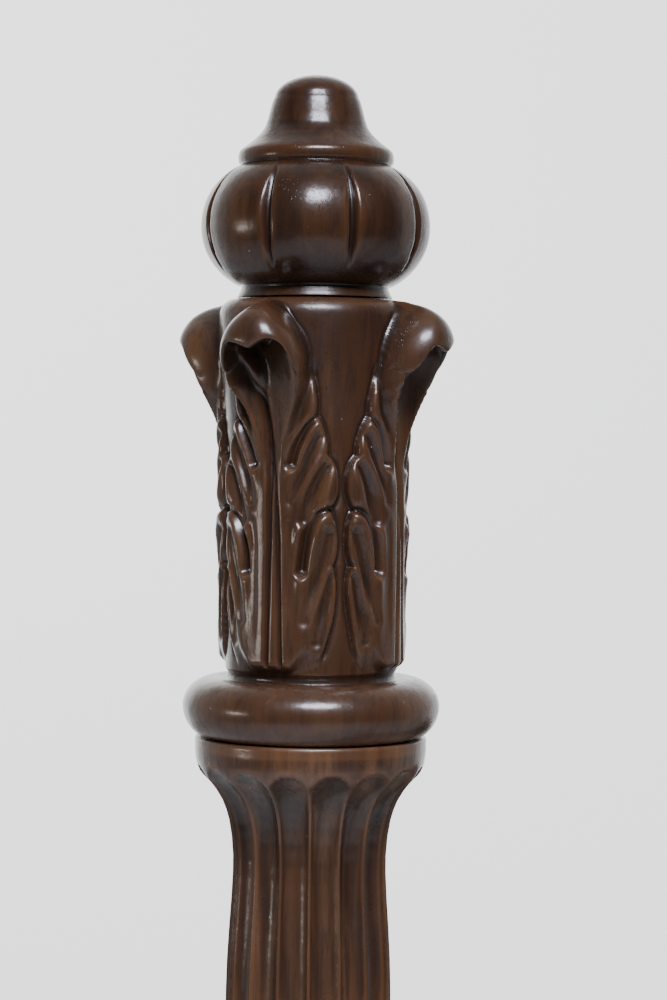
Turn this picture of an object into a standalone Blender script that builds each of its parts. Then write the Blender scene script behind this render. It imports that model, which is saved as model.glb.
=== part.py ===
"""Miniature four poster bed in stained mahogany.

Each post comes apart into a square-blocked lower post, a fluted shaft, a leaf-carved capital and a
turned finial. Two cross rails carry the head and foot panels, two bolted side rails carry the slats.
Units are metres, +Z is up, +Y is the head end, and the origin is on the floor under the bed's centre.
"""

import math

import bmesh
import bpy
from mathutils import Vector

# ---------------------------------------------------------------- driving dimensions
POST_SPACING_X = 0.500  # between post centres, across the bed
POST_SPACING_Y = 1.000  # between post centres, along the bed
GAP = 0.0003  # between pieces that touch

GLIDE_RADIUS = 0.0115
GLIDE_HEIGHT = 0.002
BLOCK_SIDE = 0.056
BLOCK_BOTTOM = 0.085
BLOCK_TOP = 0.225
BLOCK_CHAMFER = 0.0025
SHAFT_BOTTOM = 0.358
SHAFT_TOP = 0.8065
CAPITAL_HEIGHT = 0.1013  # above the shaft, to the finial's neck
FINIAL_TOP = 0.1535  # above the shaft

FLUTES = 16
FLUTE_DEPTH = 0.0016
FLUTE_FADE = 0.006
SHAFT_BAND = 0.0060  # plain band at each end of the shaft
SHAFT_NECK_RADIUS = 0.0180  # narrowest, just under the flared top
SHAFT_TAPER = 0.0082  # radius gained per metre on the way down
LEAVES = 4
LEAF_RELIEF = 0.0012
LEAF_TIP_REACH = 0.0117  # how far a leaf's curled tip stands out of the bell behind it
LEAF_TIP_HALF_ANGLE = math.radians(26)
LEAF_HALF_ANGLE = math.radians(38)
FINIAL_SLITS = 8
SLIT_DEPTH = 0.0012

TENON_RADIUS = 0.009
TENON_LENGTH = 0.030
PIN_RADIUS = 0.004
PIN_LENGTH = 0.050
SPIGOT_RADIUS = 0.007
SPIGOT_LENGTH = 0.020
SOCKET_SPARE = 0.001  # depth of a socket past the end of its tenon
PAST_FACE = 0.006  # how far a cutter runs out past the face that it cuts

RAIL_THICKNESS = 0.020
RAIL_HEIGHT = 0.080
RAIL_BOTTOM = 0.110
RAIL_TENON = (0.010, 0.050)  # thickness and height
SIDE_TENON_DEPTH = 0.008
CROSS_TENON_DEPTH = 0.018

BOLT_RADIUS = 0.003
BOLT_BORE_RADIUS = 0.0035
BOLT_REACH = 0.034  # into the side rail
BOLT_HEAD_RADIUS = 0.0058
BOLT_HEAD_HEIGHT = 0.004
BOLT_HEAD_RECESS = 0.0012  # below the block's face
COUNTERBORE_RADIUS = 0.0075
COUNTERBORE_DEPTH = 0.0055
NUT_SIDE = 0.0115
NUT_THICKNESS = 0.005
NUT_FROM_RAIL_END = 0.024

COVER_RADIUS = 0.0115
COVER_THICKNESS = 0.0012
COVER_PIVOT_RISE = 0.0145  # pivot pin above the bolt's axis
COVER_LUG_RADIUS = 0.0042
COVER_PIN_RADIUS = 0.0009
COVER_PIN_BORE = 0.0012
COVER_PIN_HEAD = (0.0024, 0.0008)  # radius and thickness
COVER_PIN_DEPTH = 0.007

PANEL_THICKNESS = 0.014
PANEL_HALF_WIDTH = 0.2185
PANEL_TONGUE = 0.012
HEAD_SHOULDER = 0.480
HEAD_PEAK = 0.565
FOOT_SHOULDER = 0.262
FOOT_PEAK = 0.305
CAP_RADIUS = 0.0085
CREST_STEPS = 20
# a tongue at each side of a panel: lowest height, highest height, reach from the bed's middle
LOWER_TONGUE = (0.196, 0.216, POST_SPACING_X / 2 - BLOCK_SIDE / 2 + PANEL_TONGUE)
HEAD_UPPER_TONGUE = (0.430, 0.460, POST_SPACING_X / 2 - 0.0225 + PANEL_TONGUE)

LEDGER = (0.014, 0.016)  # width and height
LEDGER_TOP = 0.150
LEDGER_END_CLEAR = 0.045
SLAT = (0.050, 0.008)  # width and thickness
SLAT_COUNT = 8
SLAT_PITCH = 0.110

CORNERS = {
    "foot_left": (-1, -1),
    "foot_right": (1, -1),
    "head_left": (-1, 1),
    "head_right": (1, 1),
}
RAIL_MIDDLE = RAIL_BOTTOM + RAIL_HEIGHT / 2
BLOCK_HALF = BLOCK_SIDE / 2
RAIL_HALF_LENGTH = POST_SPACING_Y / 2 - BLOCK_HALF - GAP
CROSS_HALF_LENGTH = POST_SPACING_X / 2 - BLOCK_HALF - GAP

parts = bpy.data.collections.new("four_poster_bed")
cutters = bpy.data.collections.new("cutters")


# ---------------------------------------------------------------- helpers
def clear_scene():
    for obj in list(bpy.data.objects):
        bpy.data.objects.remove(obj)
    for collection in (parts, cutters):
        bpy.context.scene.collection.children.link(collection)


def finish_material(name, colour, roughness, metallic=0.0):
    material = bpy.data.materials.new(name)
    material.use_nodes = True
    shader = material.node_tree.nodes["Principled BSDF"]
    shader.inputs["Base Color"].default_value = (*colour, 1.0)
    shader.inputs["Roughness"].default_value = roughness
    shader.inputs["Metallic"].default_value = metallic
    return material


def add_object(name, data, material=None, location=(0, 0, 0)):
    """A part when it has a material, and otherwise a cutter that the render leaves out."""
    obj = bpy.data.objects.new(name, data)
    obj.location = location
    if material is None:
        cutters.objects.link(obj)
        obj.hide_render = True
        obj.display_type = "WIRE"
        return obj
    if not obj.data.materials:
        obj.data.materials.append(material)
    parts.objects.link(obj)
    return obj


def add_box(name, corner, opposite, material=None, about=(0, 0, 0)):
    """A box between two opposite corners, which are measured from the point about."""
    corner, opposite = Vector(corner), Vector(opposite)
    bm = bmesh.new()
    bmesh.ops.create_cube(bm, size=1.0)
    bmesh.ops.scale(bm, vec=[abs(side) for side in opposite - corner], verts=bm.verts)
    return add_object(name, mesh_from(bm, name), material, (corner + opposite) / 2 + Vector(about))


def add_rod(name, radius, start, end, material=None, segments=16, about=(0, 0, 0)):
    """A round rod along the straight line from start to end, which are measured from about."""
    start, end = Vector(start), Vector(end)
    bm = bmesh.new()
    bmesh.ops.create_cone(
        bm, cap_ends=True, segments=segments, radius1=radius, radius2=radius, depth=(end - start).length
    )
    mesh = mesh_from(bm, name)
    shade_round(mesh)
    obj = add_object(name, mesh, material, (start + end) / 2 + Vector(about))
    obj.rotation_euler = (end - start).to_track_quat("Z", "Y").to_euler()
    return obj


def mesh_from(bm, name):
    mesh = bpy.data.meshes.new(name)
    bm.to_mesh(mesh)
    bm.free()
    return mesh


def shade_round(mesh):
    mesh.shade_smooth()
    mesh.set_sharp_from_angle(angle=math.radians(40))


def arc(centre, radii, start, end, steps):
    """Points (radius, height) of an elliptical arc; angles are in degrees up from the outward direction."""
    angles = [math.radians(start + (end - start) * i / steps) for i in range(steps + 1)]
    return [(centre[0] + radii[0] * math.cos(a), centre[1] + radii[1] * math.sin(a)) for a in angles]


def turned_mesh(name, profile, steps):
    """A lathe-turned solid. The profile runs down the outer side, from the axis to the axis."""
    outline = bpy.data.meshes.new(name + "_profile")
    points = [(radius, 0.0, height) for radius, height in profile]
    outline.from_pydata(points, [(i, i + 1) for i in range(len(points) - 1)], [])
    obj = bpy.data.objects.new(name + "_profile", outline)
    cutters.objects.link(obj)
    screw = obj.modifiers.new("turn", "SCREW")
    screw.steps = screw.render_steps = steps
    screw.use_merge_vertices = True
    screw.merge_threshold = 0.00001
    graph = bpy.context.evaluated_depsgraph_get()
    mesh = bpy.data.meshes.new_from_object(obj.evaluated_get(graph))
    bpy.data.objects.remove(obj)
    shade_round(mesh)
    return mesh


def combine(obj, other, operation):
    modifier = obj.modifiers.new(operation.lower(), "BOOLEAN")
    modifier.operation = operation
    modifier.object = other


def smoothstep(value, low, high):
    t = min(1.0, max(0.0, (value - low) / (high - low)))
    return t * t * (3 - 2 * t)


def move_radially(mesh, offset_at):
    """Moves each vertex outwards by offset_at(angle, height, radius)."""
    for vertex in mesh.vertices:
        radius = math.hypot(vertex.co.x, vertex.co.y)
        if radius < 0.001:
            continue
        angle = math.atan2(vertex.co.y, vertex.co.x)
        scale = (radius + offset_at(angle, vertex.co.z, radius)) / radius
        vertex.co.x *= scale
        vertex.co.y *= scale


def from_nearest(angle, count):
    """The angle from the nearest of count equally spaced directions, the first along +X."""
    pitch = 2 * math.pi / count
    return angle - pitch * round(angle / pitch)


# ---------------------------------------------------------------- the post's pieces, at the origin
def lower_post_mesh():
    """Turned foot, square block, ring, melon-shaped vase and top ring."""
    core = BLOCK_HALF - 0.003
    foot = [(core, BLOCK_BOTTOM + 0.004), (0.0245, 0.0790), (0.0200, 0.0755)]
    foot += arc((0.0195, 0.0675), (0.0060, 0.0060), 70, -70, 3)
    foot += [(0.0205, 0.0570), (0.0185, 0.0380), (0.0150, 0.0060), (0.0135, GLIDE_HEIGHT + GAP)]
    vase = [(0.0, SHAFT_BOTTOM - GAP)]
    vase += arc((0.0190, 0.3500), (0.0078, SHAFT_BOTTOM - GAP - 0.3500), 90, -80, 3)
    vase += [(0.0178, 0.3415), (0.0178, 0.3360)]
    vase += arc((0.0110, 0.2960), (0.0175, 0.0395), 64, -64, 5)
    vase += [(0.0186, 0.2560)]
    vase += arc((0.0222, 0.2465), (0.0078, 0.0075), 84, -80, 3)
    vase += [(0.0205, 0.2360), (core, BLOCK_TOP - 0.002)]
    profile = vase + foot + [(0.0, GLIDE_HEIGHT + GAP)]
    return turned_mesh("lower_post", profile, 16)


def shaft_radius(below_top):
    """Ridge radius of the fluted shaft at a depth below its top: flared ends and a slow taper between."""
    length = SHAFT_TOP - SHAFT_BOTTOM
    neck = SHAFT_NECK_RADIUS + 0.0017 * smoothstep(below_top, 0.028, 0.060)
    neck += SHAFT_TAPER * max(0.0, below_top - 0.060)
    top_flare = 0.0090 * (1 - smoothstep(below_top, 0.0045, 0.0200)) ** 1.2
    foot_flare = 0.0038 * (1 - smoothstep(length - below_top, 0.0050, 0.0260))
    return neck + top_flare + foot_flare


def fluted_shaft_mesh():
    """Alternate edge lines of a 32-sided turning are pulled in, which leaves sixteen flutes."""
    length = SHAFT_TOP - SHAFT_BOTTOM
    depths = [0.0, 0.0055, 0.0095, 0.0140, 0.0220, 0.0600]
    depths += [length - 0.0240, length - 0.0120, length]
    profile = [(0.0, SHAFT_TOP)] + [(shaft_radius(d), SHAFT_TOP - d) for d in depths]
    tenon_bottom = SHAFT_BOTTOM - TENON_LENGTH
    profile += [(TENON_RADIUS, SHAFT_BOTTOM), (TENON_RADIUS, tenon_bottom), (0.0, tenon_bottom)]
    mesh = turned_mesh("fluted_shaft", profile, 2 * FLUTES)

    def groove(angle, height, radius):
        if radius < TENON_RADIUS + 0.001:
            return 0.0
        in_valley = abs(from_nearest(angle, FLUTES)) > math.pi / FLUTES / 2
        below_top, above_foot = SHAFT_TOP - height, height - SHAFT_BOTTOM
        fade = smoothstep(below_top, SHAFT_BAND, SHAFT_BAND + FLUTE_FADE)
        fade *= smoothstep(above_foot, SHAFT_BAND, SHAFT_BAND + FLUTE_FADE)
        return -FLUTE_DEPTH * fade if in_valley else 0.0

    move_radially(mesh, groove)
    return mesh


def leaf_capital_mesh():
    """Ring, bell and four leaves whose tips curl outwards, aligned with the block's four sides."""
    profile = [(0.0, CAPITAL_HEIGHT), (0.0186, CAPITAL_HEIGHT), (0.0212, 0.0995), (0.0222, 0.0960)]
    profile += [(0.0218, 0.0905), (0.0214, 0.0840), (0.0210, 0.0770), (0.0205, 0.0680)]
    profile += [(0.0202, 0.0190), (0.0197, 0.0150)]
    profile += arc((0.0224, 0.0070), (0.0077, 0.0077), 82, -58, 4)
    profile += [(0.0262, GAP), (0.0, GAP)]
    mesh = turned_mesh("leaf_capital", profile, 24)

    def leaf(angle, height, radius):
        aside = abs(from_nearest(angle, LEAVES))
        body = LEAF_RELIEF * (1 - smoothstep(aside, LEAF_HALF_ANGLE * 0.9, LEAF_HALF_ANGLE * 1.1))
        body *= smoothstep(height, 0.0150, 0.0260) * (1 - smoothstep(height, 0.0930, 0.1000))
        rise = smoothstep(height, 0.0680, 0.0900) * (1 - smoothstep(height, 0.0945, 0.1010))
        across = max(0.0, math.cos(min(1.0, aside / LEAF_TIP_HALF_ANGLE) * math.pi / 2))
        return body + LEAF_TIP_REACH * rise * across ** 0.8

    move_radially(mesh, leaf)
    for vertex in mesh.vertices:
        vertex.co.z += SHAFT_TOP
    return mesh


def finial_mesh():
    """Bell, ring, slit melon, neck band and the spigot that plugs into the capital."""
    profile = [(0.0, FINIAL_TOP)]
    profile += arc((0.0, 0.1477), (0.0102, FINIAL_TOP - 0.1477), 60, 0, 2)
    profile += [(0.0120, 0.1410), (0.0166, 0.1370), (0.0178, 0.1358), (0.0178, 0.1333)]
    profile += arc((0.0120, 0.1185), (0.0142, 0.0155), 68, -66, 6)
    neck_bottom = CAPITAL_HEIGHT + GAP
    profile += [(0.0180, neck_bottom), (SPIGOT_RADIUS, neck_bottom)]
    profile += [(SPIGOT_RADIUS, neck_bottom - SPIGOT_LENGTH), (0.0, neck_bottom - SPIGOT_LENGTH)]
    mesh = turned_mesh("finial", profile, 2 * FINIAL_SLITS)

    def slit(angle, height, radius):
        on_slit = abs(from_nearest(angle, FINIAL_SLITS)) < 0.01
        reach = 1 - smoothstep(abs(height - 0.1195), 0.0080, 0.0110)
        return -SLIT_DEPTH * reach if on_slit else 0.0

    move_radially(mesh, slit)
    for vertex in mesh.vertices:
        vertex.co.z += SHAFT_TOP
    return mesh


# ---------------------------------------------------------------- assembling one post
def build_post(corner, side, end, meshes, materials):
    """side and end are -1 or 1: which side and which end of the bed the post stands at."""
    wood = materials["mahogany"]
    place = (side * POST_SPACING_X / 2, end * POST_SPACING_Y / 2, 0.0)
    glide_top = (0, 0, GLIDE_HEIGHT)
    add_rod(f"glide_{corner}", GLIDE_RADIUS, (0, 0, 0), glide_top, materials["felt"], about=place)

    lower = add_object(f"lower_post_{corner}", meshes["lower_post"], wood, place)
    corner_low = (-BLOCK_HALF, -BLOCK_HALF, BLOCK_BOTTOM)
    corner_high = (BLOCK_HALF, BLOCK_HALF, BLOCK_TOP)
    block = add_box(f"block_{corner}", corner_low, corner_high, about=place)
    chamfer = block.modifiers.new("chamfer", "BEVEL")
    chamfer.width = BLOCK_CHAMFER
    chamfer.segments = 1
    combine(lower, block, "UNION")
    for cutter in lower_post_cutters(corner, side, end, place):
        combine(lower, cutter, "DIFFERENCE")

    shaft = add_object(f"fluted_shaft_{corner}", meshes["fluted_shaft"], wood, place)
    capital = add_object(f"leaf_capital_{corner}", meshes["leaf_capital"], wood, place)
    pin_ends = [(0, 0, SHAFT_TOP + half) for half in (-PIN_LENGTH / 2, PIN_LENGTH / 2)]
    add_rod(f"capital_pin_{corner}", PIN_RADIUS, *pin_ends, wood, about=place)
    bore_half = PIN_LENGTH / 2 + SOCKET_SPARE
    bore_ends = [(0, 0, SHAFT_TOP + half) for half in (-bore_half, bore_half)]
    pin_bore = add_rod(f"pin_bore_{corner}", PIN_RADIUS + GAP, *bore_ends, about=place)
    combine(shaft, pin_bore, "DIFFERENCE")
    combine(capital, pin_bore, "DIFFERENCE")
    if end > 0:
        combine(shaft, panel_mortise(f"{corner}_shaft", side, end, HEAD_UPPER_TONGUE), "DIFFERENCE")

    capital_top = SHAFT_TOP + CAPITAL_HEIGHT
    socket_ends = ((0, 0, capital_top - SPIGOT_LENGTH - SOCKET_SPARE), (0, 0, capital_top + PAST_FACE))
    socket = add_rod(f"spigot_socket_{corner}", SPIGOT_RADIUS + GAP, *socket_ends, about=place)
    combine(capital, socket, "DIFFERENCE")
    add_object(f"finial_{corner}", meshes["finial"], wood, place)

    build_bolt(corner, place[0], end, materials["steel"])
    build_bolt_cover(corner, place[0], end, materials["brass"])


def lower_post_cutters(corner, side, end, place):
    """Sockets and bores of one lower post, which is cut where it stands."""
    bottom = SHAFT_BOTTOM - TENON_LENGTH - SOCKET_SPARE
    ends = ((0, 0, bottom), (0, 0, SHAFT_BOTTOM + PAST_FACE))
    yield add_rod(f"shaft_socket_{corner}", TENON_RADIUS + GAP, *ends, about=place)

    thick, tall = RAIL_TENON[0] / 2 + GAP, RAIL_TENON[1] / 2 + GAP
    mouth = BLOCK_HALF + PAST_FACE
    floor = BLOCK_HALF - SIDE_TENON_DEPTH - 2 * GAP
    near, far = (-thick, -end * floor, RAIL_MIDDLE - tall), (thick, -end * mouth, RAIL_MIDDLE + tall)
    yield add_box(f"side_mortise_{corner}", near, far, about=place)
    floor = BLOCK_HALF - CROSS_TENON_DEPTH - 2 * GAP
    near, far = (-side * floor, -thick, RAIL_MIDDLE - tall), (-side * mouth, thick, RAIL_MIDDLE + tall)
    yield add_box(f"cross_mortise_{corner}", near, far, about=place)
    yield panel_mortise(f"{corner}_block", side, end, LOWER_TONGUE)

    outside = end * mouth
    ends = ((0, outside, RAIL_MIDDLE), (0, -outside, RAIL_MIDDLE))
    yield add_rod(f"bolt_bore_{corner}", BOLT_BORE_RADIUS, *ends, about=place)
    ends = ((0, outside, RAIL_MIDDLE), (0, end * (BLOCK_HALF - COUNTERBORE_DEPTH), RAIL_MIDDLE))
    yield add_rod(f"counterbore_{corner}", COUNTERBORE_RADIUS, *ends, about=place)
    pivot = RAIL_MIDDLE + COVER_PIVOT_RISE
    ends = ((0, outside, pivot), (0, end * (BLOCK_HALF - COVER_PIN_DEPTH - SOCKET_SPARE), pivot))
    yield add_rod(f"cover_pin_bore_{corner}", COVER_PIN_BORE, *ends, segments=12, about=place)


def panel_mortise(name, side, end, tongue):
    """Socket in a post for one tongue of the panel at this end of the bed."""
    low, high, reach = tongue
    half = PANEL_THICKNESS / 2 + GAP
    middle = (0, end * POST_SPACING_Y / 2, 0)
    near = (side * (PANEL_HALF_WIDTH - PAST_FACE), -half, low - GAP)
    far = (side * (reach + GAP), half, high + GAP)
    return add_box(f"panel_mortise_{name}", near, far, about=middle)


def build_bolt(corner, x, end, steel):
    """Hexagon-headed bed bolt through the block, and the square nut let into the side rail."""
    axis = (x, 0, RAIL_MIDDLE)
    head_outer = end * (POST_SPACING_Y / 2 + BLOCK_HALF - BOLT_HEAD_RECESS)
    head_inner = head_outer - end * BOLT_HEAD_HEIGHT
    ends = ((0, head_outer, 0), (0, head_inner, 0))
    bolt = add_rod(f"bed_bolt_{corner}", BOLT_HEAD_RADIUS, *ends, steel, segments=6, about=axis)
    ends = ((0, head_inner + end * BOLT_HEAD_HEIGHT / 2, 0), (0, end * (RAIL_HALF_LENGTH - BOLT_REACH), 0))
    combine(bolt, add_rod(f"bolt_shank_{corner}", BOLT_RADIUS, *ends, about=axis), "UNION")

    place = (x, end * (RAIL_HALF_LENGTH - NUT_FROM_RAIL_END), RAIL_MIDDLE)
    half = Vector((NUT_SIDE, NUT_THICKNESS, NUT_SIDE)) / 2
    nut = add_box(f"bolt_nut_{corner}", -half, half, steel, about=place)
    ends = ((0, -NUT_THICKNESS, 0), (0, NUT_THICKNESS, 0))
    combine(nut, add_rod(f"nut_bore_{corner}", BOLT_RADIUS + GAP, *ends, about=place), "DIFFERENCE")


def build_bolt_cover(corner, x, end, brass):
    """Round brass cover that hangs from a pin above the bolt and swings aside to reach it."""
    inner = end * (POST_SPACING_Y / 2 + BLOCK_HALF + GAP)
    pivot = bpy.data.objects.new(f"cover_pivot_{corner}", None)
    pivot.location = (x, inner, RAIL_MIDDLE + COVER_PIVOT_RISE)
    parts.objects.link(pivot)

    outer = end * COVER_THICKNESS
    drop = -COVER_PIVOT_RISE
    ends = ((0, 0, drop), (0, outer, drop))
    cover = add_rod(f"bolt_cover_{corner}", COVER_RADIUS, *ends, brass, segments=20)
    half = COVER_LUG_RADIUS * 0.9
    lug = add_rod(f"cover_lug_{corner}", COVER_LUG_RADIUS, (0, 0, 0), (0, outer, 0), segments=12)
    neck = add_box(f"cover_neck_{corner}", (-half, 0, drop), (half, outer, 0))
    bore_ends = ((0, -PAST_FACE, 0), (0, PAST_FACE, 0))
    bore = add_rod(f"cover_bore_{corner}", COVER_PIN_RADIUS + GAP, *bore_ends, segments=12)
    combine(cover, lug, "UNION")
    combine(cover, neck, "UNION")
    combine(cover, bore, "DIFFERENCE")
    for obj in (cover, lug, neck, bore):
        obj.parent = pivot

    head_inner = inner + end * (COVER_THICKNESS + GAP)
    head_outer = head_inner + end * COVER_PIN_HEAD[1]
    axis = (x, 0, RAIL_MIDDLE + COVER_PIVOT_RISE)
    tip = end * (POST_SPACING_Y / 2 + BLOCK_HALF - COVER_PIN_DEPTH)
    ends = ((0, (head_inner + head_outer) / 2, 0), (0, tip, 0))
    pin = add_rod(f"cover_pin_{corner}", COVER_PIN_RADIUS, *ends, brass, segments=12, about=axis)
    ends = ((0, head_inner, 0), (0, head_outer, 0))
    combine(pin, add_rod(f"pin_head_{corner}", COVER_PIN_HEAD[0], *ends, segments=12, about=axis), "UNION")


# ---------------------------------------------------------------- rails, panels and slats
def build_side_rail(name, side, wood):
    """Side rail with its tenons, bolt bores and nut slots, and the ledger glued along its inside."""
    place = (side * POST_SPACING_X / 2, 0, RAIL_MIDDLE)
    half = Vector((RAIL_THICKNESS / 2, RAIL_HALF_LENGTH, RAIL_HEIGHT / 2))
    rail = add_box(f"side_rail_{name}", -half, half, wood, about=place)
    tenon = Vector((RAIL_TENON[0] / 2, RAIL_HALF_LENGTH + SIDE_TENON_DEPTH, RAIL_TENON[1] / 2))
    combine(rail, add_box(f"side_tenons_{name}", -tenon, tenon, about=place), "UNION")
    for end_name, end in (("foot", -1), ("head", 1)):
        bore_end = end * (RAIL_HALF_LENGTH - BOLT_REACH - SOCKET_SPARE)
        ends = ((0, end * (tenon.y + PAST_FACE), 0), (0, bore_end, 0))
        bore = add_rod(f"rail_bore_{name}_{end_name}", BOLT_BORE_RADIUS, *ends, about=place)
        combine(rail, bore, "DIFFERENCE")
        nut_y = end * (RAIL_HALF_LENGTH - NUT_FROM_RAIL_END)
        tall, deep = NUT_SIDE / 2 + GAP, NUT_THICKNESS / 2 + GAP
        near = (side * tall, nut_y - deep, -tall)
        far = (-side * (half.x + PAST_FACE), nut_y + deep, tall)
        combine(rail, add_box(f"nut_slot_{name}_{end_name}", near, far, about=place), "DIFFERENCE")

    length = RAIL_HALF_LENGTH - LEDGER_END_CLEAR
    near = (side * (POST_SPACING_X / 2 - half.x - GAP), -length, LEDGER_TOP - LEDGER[1])
    far = (near[0] - side * LEDGER[0], length, LEDGER_TOP)
    add_box(f"slat_ledger_{name}", near, far, wood)


def build_cross_rail(name, end, wood):
    place = (0, end * POST_SPACING_Y / 2, RAIL_MIDDLE)
    half = Vector((CROSS_HALF_LENGTH, RAIL_THICKNESS / 2, RAIL_HEIGHT / 2))
    rail = add_box(f"{name}_cross_rail", -half, half, wood, about=place)
    tenon = Vector((CROSS_HALF_LENGTH + CROSS_TENON_DEPTH, RAIL_TENON[0] / 2, RAIL_TENON[1] / 2))
    combine(rail, add_box(f"{name}_cross_tenons", -tenon, tenon, about=place), "UNION")


def crest_height(x, shoulder, peak):
    """Height of a panel's top edge: level shoulders that sweep up to a rounded middle."""
    return peak + (shoulder - peak) * smoothstep(abs(x), 0.0, PANEL_HALF_WIDTH * 0.82)


def build_panel(name, end, shoulder, peak, tongues, wood):
    """Shaped board between two posts, with a round moulding along its top edge."""
    place = (0, end * POST_SPACING_Y / 2, 0)
    bottom = RAIL_BOTTOM + RAIL_HEIGHT + GAP
    edge = [PANEL_HALF_WIDTH * (1 - 2 * i / CREST_STEPS) for i in range(CREST_STEPS + 1)]
    flank = [(PANEL_HALF_WIDTH, bottom)]
    for low, high, reach in tongues:
        flank += [(PANEL_HALF_WIDTH, low), (reach, low), (reach, high), (PANEL_HALF_WIDTH, high)]
    outline = flank + [(x, crest_height(x, shoulder, peak)) for x in edge]
    outline += [(-x, z) for x, z in reversed(flank)]
    board = bpy.data.curves.new(f"{name}board", "CURVE")
    board.dimensions = "2D"
    board.fill_mode = "BOTH"
    board.extrude = PANEL_THICKNESS / 2
    add_polyline(board, [(x, z, 0.0) for x, z in outline], closed=True)
    panel = add_object(f"{name}board_panel", board, wood, place)
    panel.rotation_euler.x = math.pi / 2

    moulding = bpy.data.curves.new(f"{name}board_cap", "CURVE")
    moulding.dimensions = "3D"
    moulding.bevel_depth = CAP_RADIUS
    moulding.bevel_resolution = 2
    moulding.use_fill_caps = True
    add_polyline(moulding, [crest_centre(x, shoulder, peak) for x in edge])
    add_object(f"{name}board_cap_moulding", moulding, wood, place)


def crest_centre(x, shoulder, peak):
    """Centre of the cap moulding: square off the panel's edge, and clear of it."""
    step = 0.001
    slope = (crest_height(x + step, shoulder, peak) - crest_height(x - step, shoulder, peak)) / (2 * step)
    rise = (CAP_RADIUS + 3 * GAP) / math.hypot(1.0, slope)
    return (x - rise * slope, 0.0, crest_height(x, shoulder, peak) + rise)


def add_polyline(curve, points, closed=False):
    spline = curve.splines.new("POLY")
    spline.points.add(len(points) - 1)
    for knot, point in zip(spline.points, points):
        knot.co = (*point, 1.0)
    spline.use_cyclic_u = closed


def build_slats(wood):
    half = Vector((POST_SPACING_X / 2 - RAIL_THICKNESS / 2 - 2 * GAP, SLAT[0] / 2, SLAT[1] / 2))
    for i in range(SLAT_COUNT):
        place = (0, SLAT_PITCH * (i - (SLAT_COUNT - 1) / 2), LEDGER_TOP + GAP + half.z)
        add_box(f"slat_{i + 1}", -half, half, wood, about=place)


def main():
    clear_scene()
    materials = {
        "mahogany": finish_material("mahogany", (0.060, 0.026, 0.014), 0.32),
        "slat_wood": finish_material("slat_wood", (0.42, 0.24, 0.13), 0.65),
        "brass": finish_material("brass", (0.72, 0.50, 0.20), 0.30, 1.0),
        "steel": finish_material("steel", (0.55, 0.55, 0.56), 0.35, 1.0),
        "felt": finish_material("felt", (0.05, 0.045, 0.04), 0.95),
    }
    meshes = {
        "lower_post": lower_post_mesh(),
        "fluted_shaft": fluted_shaft_mesh(),
        "leaf_capital": leaf_capital_mesh(),
        "finial": finial_mesh(),
    }
    wood = materials["mahogany"]
    for corner, (side, end) in CORNERS.items():
        build_post(corner, side, end, meshes, materials)
    for name, side in (("left", -1), ("right", 1)):
        build_side_rail(name, side, wood)
    for name, end in (("head", 1), ("foot", -1)):
        build_cross_rail(name, end, wood)
    build_panel("head", 1, HEAD_SHOULDER, HEAD_PEAK, (LOWER_TONGUE, HEAD_UPPER_TONGUE), wood)
    build_panel("foot", -1, FOOT_SHOULDER, FOOT_PEAK, (LOWER_TONGUE,), wood)
    build_slats(materials["slat_wood"])


main()
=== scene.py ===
# %% [markdown]
# # A miniature four poster bed in stained mahogany
#
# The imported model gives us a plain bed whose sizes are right: turned posts, rails, boards, slats and
# fittings, each as its own node. This notebook dresses it. The carved post tops are the heart of the
# piece, so most cells carve; the rest turn, mould and finish the parts below them. Everything is in
# metres, in the frame's own coordinates, and the lengths that the carver thinks in are in millimetres.

# %% Load the frame
import math

import bmesh
import bpy
import numpy as np
from mathutils import Matrix, Vector


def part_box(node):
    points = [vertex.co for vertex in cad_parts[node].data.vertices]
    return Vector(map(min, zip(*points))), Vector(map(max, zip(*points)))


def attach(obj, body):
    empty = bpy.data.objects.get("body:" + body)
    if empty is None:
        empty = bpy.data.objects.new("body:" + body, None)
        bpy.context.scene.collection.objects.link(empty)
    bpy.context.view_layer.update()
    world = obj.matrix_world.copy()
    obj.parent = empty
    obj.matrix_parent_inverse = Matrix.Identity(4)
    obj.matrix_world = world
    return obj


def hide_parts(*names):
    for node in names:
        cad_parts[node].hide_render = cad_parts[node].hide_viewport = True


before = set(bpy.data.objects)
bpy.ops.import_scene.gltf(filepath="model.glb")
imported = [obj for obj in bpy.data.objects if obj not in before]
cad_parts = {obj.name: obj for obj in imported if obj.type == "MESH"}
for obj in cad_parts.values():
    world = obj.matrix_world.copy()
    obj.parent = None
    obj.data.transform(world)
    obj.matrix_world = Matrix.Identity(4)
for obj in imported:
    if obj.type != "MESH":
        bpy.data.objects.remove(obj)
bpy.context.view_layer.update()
MM = 0.001
CORNERS = ("foot_left", "foot_right", "head_left", "head_right")

# %% [markdown]
# ## Where the posts stand
#
# Every post is the same, so each of its pieces is modelled once, standing on the world's Z axis, and then
# copied to the four corners. The middle of each shaft's box gives the post's axis, and the shaft's top
# is the joint that the carved capital sits on. Heights of the capital and finial are measured from it.

# %% Post axes and the joint's height
POST_AXES = {}
for corner in CORNERS:
    low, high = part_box(f"fluted_shaft_{corner}")
    POST_AXES[corner] = ((low.x + high.x) / 2, (low.y + high.y) / 2)
JOINT_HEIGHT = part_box("fluted_shaft_foot_left")[1].z
FINIAL_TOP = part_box("finial_foot_left")[1].z
print("posts at", POST_AXES, "joint at", round(JOINT_HEIGHT, 4), "top at", round(FINIAL_TOP, 4))

# %% [markdown]
# ## Lathe and gouge
#
# A turner shapes wood by spinning a profile, and Blender's spin operator does the same with a line of
# vertices. Its many thin rings are also the best blank for a carving: a carver then takes wood away
# toward the middle, which here means moving vertices along their radius. Working on arrays of angle and
# height keeps that quick, even on a blank of a hundred thousand points.


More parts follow.
